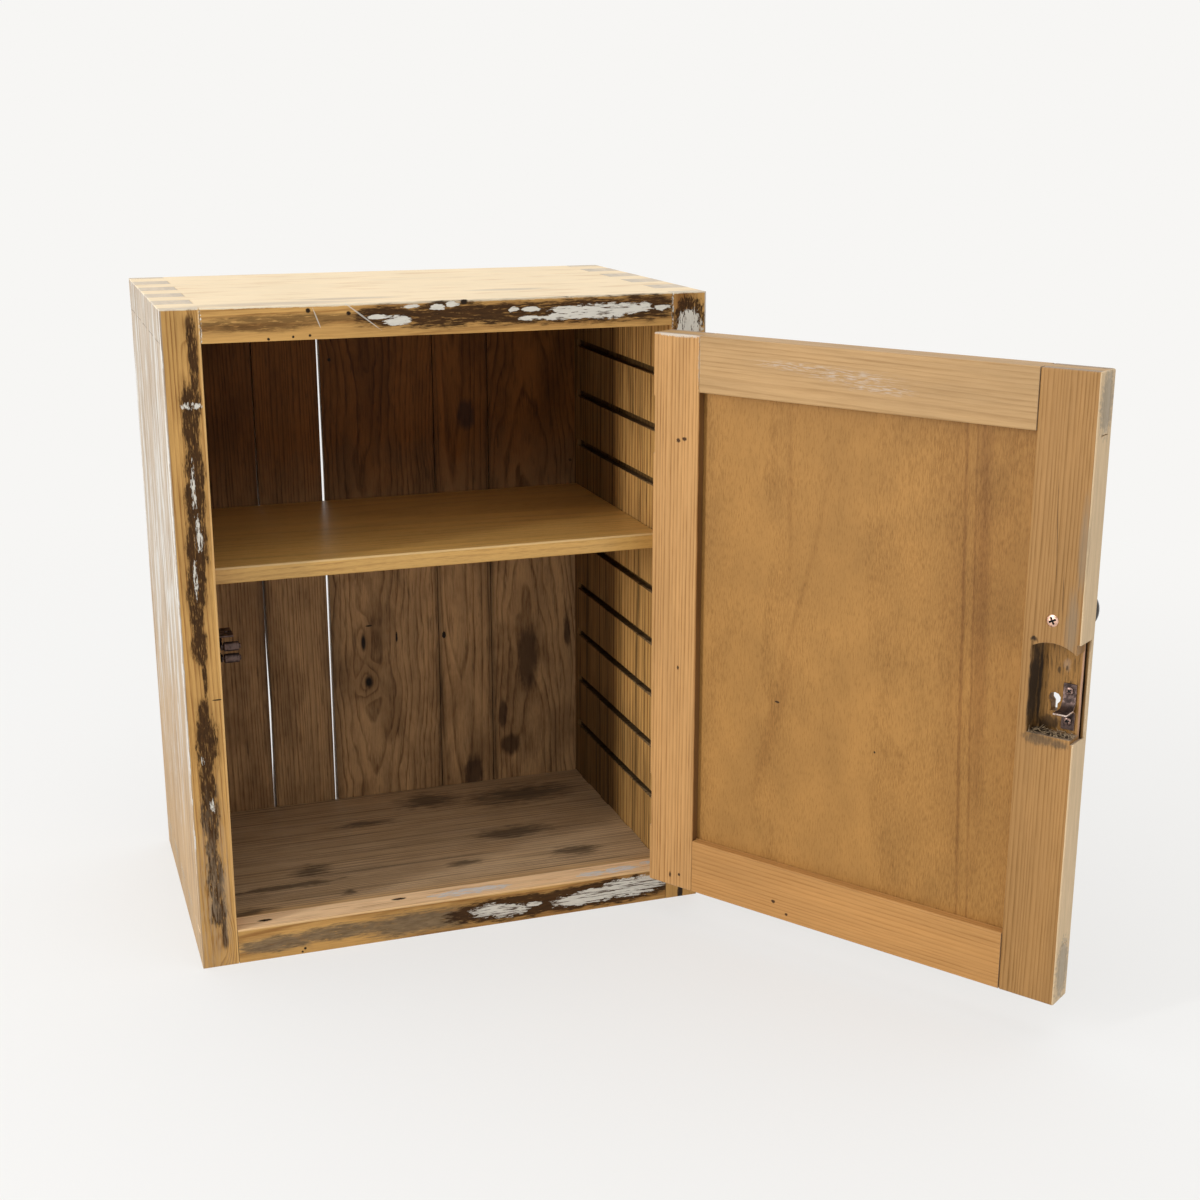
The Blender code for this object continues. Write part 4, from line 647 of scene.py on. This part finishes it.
boards = {
    "left_side": ("pine_sides", "stripped pine left side", leftSide),
    "right_side": ("pine_sides", "stripped pine right side", rightSide),
    "top_board": ("pine_ends", "stripped pine top", topBoard),
    "bottom_board": ("pine_ends", "stripped pine bottom", bottomBoard),
    "shelf": ("pine_shelf", "varnished pine shelf", shelfLook),
    "door_hinge_stile": ("pine_door", "waxed pine hinge stile", hingeStile),
    "door_lock_stile": ("pine_door", "waxed pine lock stile", lockStile),
    "door_top_rail": ("pine_door", "waxed pine top rail", topRail),
    "door_bottom_rail": ("pine_door", "waxed pine bottom rail", bottomRail),
    "door_panel": ("pine_panel", "birch plywood panel", doorPanel),
}
for node, look in backBoards.items():
    boards[node] = ("pine_back", "aged pine " + node.replace("_", " "), look)

# shrunken left edges let the light through the seams: (height, shift in front, shift behind) in mm
seams = {
    "back_board_3": [(447.2, 0.0, 1.6), (300, 0.2, 2.6), (15.8, 0.0, 1.5)],
    "back_board_2": [(447.2, 0.0, 0.0), (290, 0.0, 0.9), (262, 0.0, 1.6), (235, 0.0, 0.6), (185, 0.0, 0.7),
                     (110, 0.0, 1.9), (60, 0.0, 1.2), (40, 0.0, 0.5), (15.8, 0.0, 0.3)],
}
seamFit = {"level": 0.001, "middle": 0.11}  # metres
keyhole = {"across": (-0.1461, -0.1371), "tall": (0.2200, 0.2346), "back": -0.1105, "shrink": (0.94, 1.0, 0.9),
           "aside": 0.001}
wear = {"arris": 0.0012, "seam": 0.0003, "joint": 0.00025}
for node, (slot, name, look) in boards.items():
    bm = copied(node)
    levels = seams.get(node, [])
    for level in levels[1:-1]:
        cutAcross(bm, (0, 0, level[0] / 1000), (0, 0, 1))
    bm.normal_update()
    edge = {v for f in bm.faces if f.normal.x < -0.9 for v in f.verts}
    for height, ahead, behind in levels:
        here = [v for v in edge if abs(v.co.z - height / 1000) < seamFit["level"]]
        for shift, half in ((ahead, [v for v in here if v.co.y < seamFit["middle"]]),
                            (behind, [v for v in here if v.co.y > seamFit["middle"]])):
            bmesh.ops.translate(bm, vec=(shift / 1000, 0, 0), verts=half)
    if node == "door_lock_stile":  # the worn keyhole sits a little nearer the hinges
        hole = [v for v in bm.verts if keyhole["across"][0] < v.co.x < keyhole["across"][1]
                and keyhole["tall"][0] < v.co.z < keyhole["tall"][1] and v.co.y < keyhole["back"]]
        held = Matrix.Translation((-keyhole["across"][1], 0, -keyhole["tall"][0]))
        bmesh.ops.scale(bm, vec=keyhole["shrink"], space=held, verts=hole)
        bmesh.ops.translate(bm, vec=(keyhole["aside"], 0, 0), verts=hole)
    arris = wear["seam"] if slot == "pine_back" else wear["arris"]
    keepPiece(softened(bm, arris, wear["joint"]), node, pine(name, look))
print("boards:", len(boards))

# torn fibres left standing along the foot of the lock pocket
splinters = {"count": 70, "from": (-0.1565, -0.1105, 0.2076), "to": (-0.1290, -0.0990, 0.2082),
             "lean": ((-1, 1), (-0.3, 0.1), (0.1, 0.7)), "long": (0.0015, 0.005), "out": 0.4, "thick": 0.0004,
             "taper": 6, "seed": 5}
fibreLook = dict(doorLook, grain="x", pith=(-60, 110), ring=1.5, early="a08a6c", late="4a3826", contrast=0.9,
                 fibre=0.6, strand=(3, 0.5, 0.5))
chance = random.Random(splinters["seed"])
thick = splinters["thick"]
bm = bmesh.new()
for number in range(splinters["count"]):
    root = Vector([chance.uniform(a, b) for a, b in zip(splinters["from"], splinters["to"])])
    lean = Vector([chance.uniform(a, b) for a, b in splinters["lean"]]).normalized()
    tall = chance.uniform(*splinters["long"])
    stand = facing(root + lean * tall * splinters["out"], lean, 90 * chance.random())
    bmesh.ops.create_cone(bm, cap_ends=True, segments=4, radius1=thick, radius2=thick / splinters["taper"],
                          depth=tall, matrix=stand)
addPiece(bm, "pocketSplinters", "door", pine("torn pine fibre", fibreLook))
print("splinters:", splinters["count"])


# Metals: the eye gets a worn bare colour, dull tarnish in blotches, and fine grit. Stained beech and the
# near-black floors of the screw slots are made the same way with no metal in them. All sizes in mm.
def metal(name, look):
    material = bpy.data.materials.new(name)
    tree = emptied(material)
    coords = addNode(tree, "TexCoord").outputs["Object"]
    blotch = addNode(tree, "TexNoise", coords, 1000 / look["blotch"], 5.0, 0.6)
    fine = addNode(tree, "TexNoise", coords, 1000 / look["grit"], 3.0, 0.6)
    mask = addNode(tree, "MapRange", blotch, look["tarnish"] - 0.1, look["tarnish"] + 0.1, 0.0, 1.0,
                   interpolation_type="SMOOTHSTEP")
    colour = addNode(tree, "Mix", mask, linear(look["bare"]), linear(look["dull"]), data_type="RGBA")
    shade = addNode(tree, "MapRange", fine, 0.3, 0.7, 0.85, 1.15)
    colour = addNode(tree, "VectorMath", colour, shade, operation="SCALE")
    rough = addNode(tree, "Mix", mask, look["rough"], look["rough"] + 0.2)
    bump = addNode(tree, "Bump", 0.3, 0.00015, None, fine)
    shader = addNode(tree, "BsdfPrincipled", colour, look["metallic"], rough)
    tree.links.new(bump.outputs[0], shader.inputs["Normal"])
    addNode(tree, "OutputMaterial", shader)
    return material


metals = {
    "hinge_metal": metal("blued steel", {"bare": "7a7f88", "dull": "3c4046", "blotch": 5, "grit": 0.5,
                                         "tarnish": 0.45, "rough": 0.35, "metallic": 0.9}),
    "bronze_metal": metal("tarnished bronze", {"bare": "5e4c46", "dull": "3a2e2b", "blotch": 4, "grit": 0.5,
                                               "tarnish": 0.5, "rough": 0.38, "metallic": 0.8}),
    "copper_metal": metal("copper plate", {"bare": "dcb49e", "dull": "93644f", "blotch": 2, "grit": 0.3,
                                           "tarnish": 0.58, "rough": 0.35, "metallic": 0.9}),
    "iron_metal": metal("rusted iron", {"bare": "5b4a40", "dull": "3a2a22", "blotch": 2, "grit": 0.3,
                                        "tarnish": 0.4, "rough": 0.5, "metallic": 0.6}),
    "knob_black": metal("ebonised beech", {"bare": "2a211b", "dull": "120e0c", "blotch": 9, "grit": 0.6,
                                           "tarnish": 0.5, "rough": 0.3, "metallic": 0.0}),
    "strike_screw": metal("tarnished copper", {"bare": "b39488", "dull": "6a544c", "blotch": 1.6, "grit": 0.3,
                                               "tarnish": 0.48, "rough": 0.36, "metallic": 0.85}),
}
# the floors of the screw slots are drawn near black
slotFloorDark = metal("screw dirt", {"bare": "1c1512", "dull": "0e0a08", "blotch": 1, "grit": 0.3, "tarnish": 0.5,
                                 "rough": 0.7, "metallic": 0.0})
# crown, shank and fit are shares of the head, rim and point are in mm
screwShape = {"crown": [(0, 0), (0.4, 0.12), (0.72, 0.42), (0.93, 0.8)], "rim": 0.1, "shank": 0.45,
              "point": 1.5, "fit": 0.995, "steps": 40}


def screw(look, length, radius):  # head up, its crown at nought
    dome, side, shank = look["dome"], look["side"], radius * screwShape["shank"]
    crown = [(radius * out, -dome * down) for out, down in screwShape["crown"]]
    bm = turned(crown + [(radius, -dome - screwShape["rim"]), (radius, -dome - side),
                         (shank, -dome - side - look["sink"]), (shank, -length + screwShape["point"]),
                         (0, -length)], screwShape["steps"])
    half, reach = look["slot"] / 2000, radius * look["span"] / 1000
    for axis in ((1, 0, 0), (0, 1, 0)):
        for far in (-reach, -half, half, reach):
            cutAcross(bm, [far * a for a in axis], axis)
    bm.normal_update()
    inside = []
    for face in bm.faces:
        c = face.calc_center_median()
        bar = abs(c.x) < half and abs(c.y) < reach
        cross = look["cross"] and abs(c.y) < half and abs(c.x) < reach
        if face.normal.z > 0.3 and c.z > -0.001 * (dome + side) and (bar or cross):
            inside.append(face)
    edges = list(dict.fromkeys(e for f in inside for e in f.edges))
    made = bmesh.ops.extrude_face_region(bm, geom=inside + edges)["geom"]
    floor = [v for v in made if isinstance(v, bmesh.types.BMVert)]
    bmesh.ops.translate(bm, vec=(0, 0, -look["deep"] / 1000), verts=floor)
    for vert in floor:
        for face in vert.link_faces:
            face.material_index = 1
    bmesh.ops.recalc_face_normals(bm, faces=bm.faces[:])
    return bm


screwLooks = {
    "hinge": {"dome": 0.1, "side": 0.15, "sink": 1.2, "slot": 0.7, "span": 0.75, "deep": 0.5, "cross": False},
    "knob": {"dome": 0.5, "side": 0.3, "sink": 1.6, "slot": 1.3, "span": 0.62, "deep": 1.2, "cross": True},
    "small": {"dome": 0.6, "side": 0.3, "sink": 0.2, "slot": 1.0, "span": 0.6, "deep": 0.8, "cross": True},
}
# how far round each screw's slot stopped, in degrees
screwTurns = {"carcass": (77, 137), "door": (111, 181), "strike": (20, 48), "catch": (33, 8), "knob": 28}
screwPlaces = {}
for count, position in enumerate(("lower", "upper")):
    for number in (1, 2):
        for leaf, direction in (("carcass", (-1, 0, 0)), ("door", (1, 0, 0))):
            node = "hinge_%s_%s_screw_%d" % (position, leaf, number)
            screwPlaces[node] = ("hinge", direction, screwTurns[leaf][number - 1])
    screwPlaces["strike_screw_" + position] = ("small", (0, 1, 0), screwTurns["strike"][count])
    screwPlaces["catch_screw_" + position] = ("small", (1, 0, 0), screwTurns["catch"][count])
screwPlaces["knob_screw"] = ("knob", (0, 1, 0), screwTurns["knob"])
for node, (kind, direction, roll) in screwPlaces.items():
    head, length, radius = standing(node, direction)
    bm = screw(screwLooks[kind], length, radius * screwShape["fit"])
    bmesh.ops.transform(bm, matrix=facing(head, direction, roll), verts=bm.verts[:])
    slot = nodes[node].data.materials[0].name
    plate = metals.get(node.rsplit("_", 1)[0], metals[slot])
    keepPiece(bm, node, plate, smoothUnder["plate"]).data.materials.append(slotFloorDark)
print("screws:", len(screwPlaces))

knobLook = {"wide": 14.6, "crown": 15.8, "rise": 9.8, "arc": 10, "steps": 56,
            "foot": [(14.3, 14.3), (12.9, 12.1), (10.2, 10.0), (7.6, 8.2), (6.3, 6.6), (6.1, 5.0), (6.5, 3.6),
                     (7.8, 2.2), (8.4, 1.5), (8.4, 0.3), (8.1, 0.0), (0, 0)]}
quarter = [a * math.pi / (2 * knobLook["arc"]) for a in range(knobLook["arc"] + 1)]
crown = [(knobLook["wide"] * math.sin(a), knobLook["crown"] + knobLook["rise"] * math.cos(a)) for a in quarter]
bm = turned(crown + knobLook["foot"], knobLook["steps"])
foot = standing("knob", (0, 1, 0))[0]
bmesh.ops.transform(bm, matrix=facing(foot, (0, -1, 0)), verts=bm.verts[:])
keepPiece(bm, "knob", metals["knob_black"], smoothUnder["turned"])

rollerLook = {"half": [(0, 5.2), (2.5, 5.2), (3.0, 5.05), (3.25, 4.6), (3.25, 3.6), (3.16, 3.4), (3.25, 3.2)],
              "steps": 36}
for position in ("lower", "upper"):
    node = "catch_roller_" + position
    low, high = measured(node)
    bm = turned(rollerLook["half"] + [(r, -z) for r, z in reversed(rollerLook["half"])], rollerLook["steps"])
    bmesh.ops.transform(bm, matrix=facing((low + high) / 2, (1, 0, 0)), verts=bm.verts[:])
    keepPiece(bm, node, metals["bronze_metal"], smoothUnder["turned"])

nailLook = {"head": [(0, 0), (1.1, -0.08), (1.8, -0.3), (2.15, -0.6), (2.1, -0.85), (0.95, -1.1)], "shank": 0.9,
            "point": 3, "steps": 14, "turn": 37}
for count, node in enumerate(sorted(n for n in nodes if n.startswith("back_nail"))):
    head, length = standing(node, (0, 1, 0))[:2]
    shank = [(nailLook["shank"], nailLook["point"] - length), (0, -length)]
    bm = turned(nailLook["head"] + shank, nailLook["steps"])
    bmesh.ops.transform(bm, matrix=facing(head, (0, 1, 0), nailLook["turn"] * count), verts=bm.verts[:])
    keepPiece(bm, node, metals["iron_metal"], smoothUnder["nail"])

# the spring is split where its legs leave the bend, so that each leg goes with the arm it lies on
springLook = {"room": 0.0007, "arris": 0.0002, "joint": 0.00015}
low, high = measured("catch_spring")
pivotLow, pivotHigh = measured("catch_pivot_upper")
split, nip = (pivotLow.y + pivotHigh.y) / 2, (low.z + high.z) / 2
for part, side, up in (("", -1, 0), ("UpperLeg", 1, 1), ("LowerLeg", 1, -1)):
    bm = copied("catch_spring")
    cutAcross(bm, (0, split - springLook["room"] * (side > 0), 0), (0, side, 0), clear_outer=True)
    bmesh.ops.holes_fill(bm, edges=[e for e in bm.edges if e.is_boundary])
    bmesh.ops.delete(bm, geom=[v for v in bm.verts if (v.co.z - nip) * up < 0], context="VERTS")
    bmesh.ops.recalc_face_normals(bm, faces=bm.faces[:])
    softened(bm, springLook["arris"], springLook["joint"])
    if part:
        arm = "catch_arm_" + ("upper" if up > 0 else "lower")
        addPiece(bm, "catchSpring" + part, arm, metals["bronze_metal"], smoothUnder["plate"])
    else:
        keepPiece(bm, "catch_spring", metals["bronze_metal"], smoothUnder["plate"])

# painted highlight: a pale copper for the strike's cut edges and tongue tip
highlitCopper = metal("rubbed copper", {"bare": "ead6ca", "dull": "b39488", "blotch": 1.2, "grit": 0.3,
                                       "tarnish": 0.55, "rough": 0.3, "metallic": 0.85})
plateLook = {"arris": 0.0002, "joint": 0.00015, "tip": 0.0012}
for node in sorted(set(nodes) - shaped):
    slot = nodes[node].data.materials[0].name
    bm = softened(copied(node), plateLook["arris"], plateLook["joint"])
    if node == "strike":  # painted highlight: its cut edges and the tip of its tongue are drawn in paler copper
        bm.normal_update()
        tip = max(v.co.y for v in bm.verts) - plateLook["tip"]
        for face in bm.faces:
            face.material_index = int(abs(face.normal.x) > 0.8 or face.calc_center_median().y > tip)
    piece = keepPiece(bm, node, metals[slot], smoothUnder["plate"])
    if node == "strike":
        piece.data.materials.append(highlitCopper)
print("fittings:", len(nodes) - len(boards) - len(screwPlaces))


# plain pale floor that fades to white, soft room light, and one tall narrow window on the left
studio = {"floor": "e6e6e5", "floorSize": 6.0, "fade": (0.5, 1.4), "paper": 0.6, "paperWhite": "f7f6f4",
          "sky": 0.24, "zenith": 1.42, "key": 37.0, "keyFrom": (-0.915, -0.32, 0.245), "keyAway": 2.4,
          "keyAim": (0, 0, 0.23), "keyWide": 0.16, "keyTall": 2.0}


def whiteRays(tree):  # camera, mirror and glass rays see plain white
    path = addNode(tree, "LightPath").outputs
    seen = addNode(tree, "Math", path["Is Camera Ray"], path["Is Glossy Ray"], operation="MAXIMUM")
    return addNode(tree, "Math", seen, path["Is Transmission Ray"], operation="MAXIMUM")


bm = bmesh.new()
bmesh.ops.create_grid(bm, x_segments=1, y_segments=1, size=studio["floorSize"])
mesh = bpy.data.meshes.new("floor")
bm.to_mesh(mesh)
bm.free()
floor = bpy.data.objects.new("floor", mesh)
scene.collection.objects.link(floor)
paper = bpy.data.materials.new("white paper")
tree = emptied(paper)
away = addNode(tree, "VectorMath", addNode(tree, "TexCoord").outputs["Object"], operation="LENGTH")
away = addNode(tree, "MapRange", away, *studio["fade"], studio["paper"], 1.0, interpolation_type="SMOOTHSTEP")
away = addNode(tree, "Math", away, whiteRays(tree), operation="MULTIPLY")
lit = addNode(tree, "BsdfDiffuse", linear(studio["floor"]))
plain = addNode(tree, "Emission", linear(studio["paperWhite"]), 1.0)
addNode(tree, "OutputMaterial", addNode(tree, "MixShader", away, lit, plain))
mesh.materials.append(paper)

world = bpy.data.worlds.new("studio")
scene.world = world
tree = emptied(world)
up = addNode(tree, "SeparateXYZ", addNode(tree, "TexCoord").outputs["Generated"])
up = addNode(tree, "MapRange", up.outputs["Z"], 0.0, 1.0, studio["sky"], studio["zenith"])
up = addNode(tree, "VectorMath", (1, 1, 1), up, operation="SCALE")
up = addNode(tree, "Mix", whiteRays(tree), up, linear(studio["paperWhite"]), data_type="RGBA")
addNode(tree, "OutputWorld", addNode(tree, "Background", up, 1.0))

lamp = bpy.data.lights.new("window", "AREA")
lamp.shape = "RECTANGLE"
lamp.energy, lamp.size, lamp.size_y = studio["key"], studio["keyWide"], studio["keyTall"]
window = bpy.data.objects.new("window", lamp)
scene.collection.objects.link(window)
window.location = Vector(studio["keyAim"]) + Vector(studio["keyFrom"]) * studio["keyAway"]
window.rotation_euler = Vector((*studio["keyFrom"][:2], 0)).to_track_quat("Z", "Y").to_euler()

view = {"at": (-0.28427, -1.24848, 0.57747), "right": (0.94458, -0.32829, 0.00037),
        "down": (-0.08818, -0.25481, -0.96296), "forward": (0.31623, 0.90956, -0.26964), "lens": 51.73}
lens = bpy.data.cameras.new("camera")
lens.sensor_width, lens.lens = 36, view["lens"]
camera = bpy.data.objects.new("camera", lens)
scene.collection.objects.link(camera)
camera.matrix_world = Matrix.Translation(view["at"]) @ Matrix(
    (view["right"], [-a for a in view["down"]], [-a for a in view["forward"]])).transposed().to_4x4()
scene.camera = camera
print("studio ready")
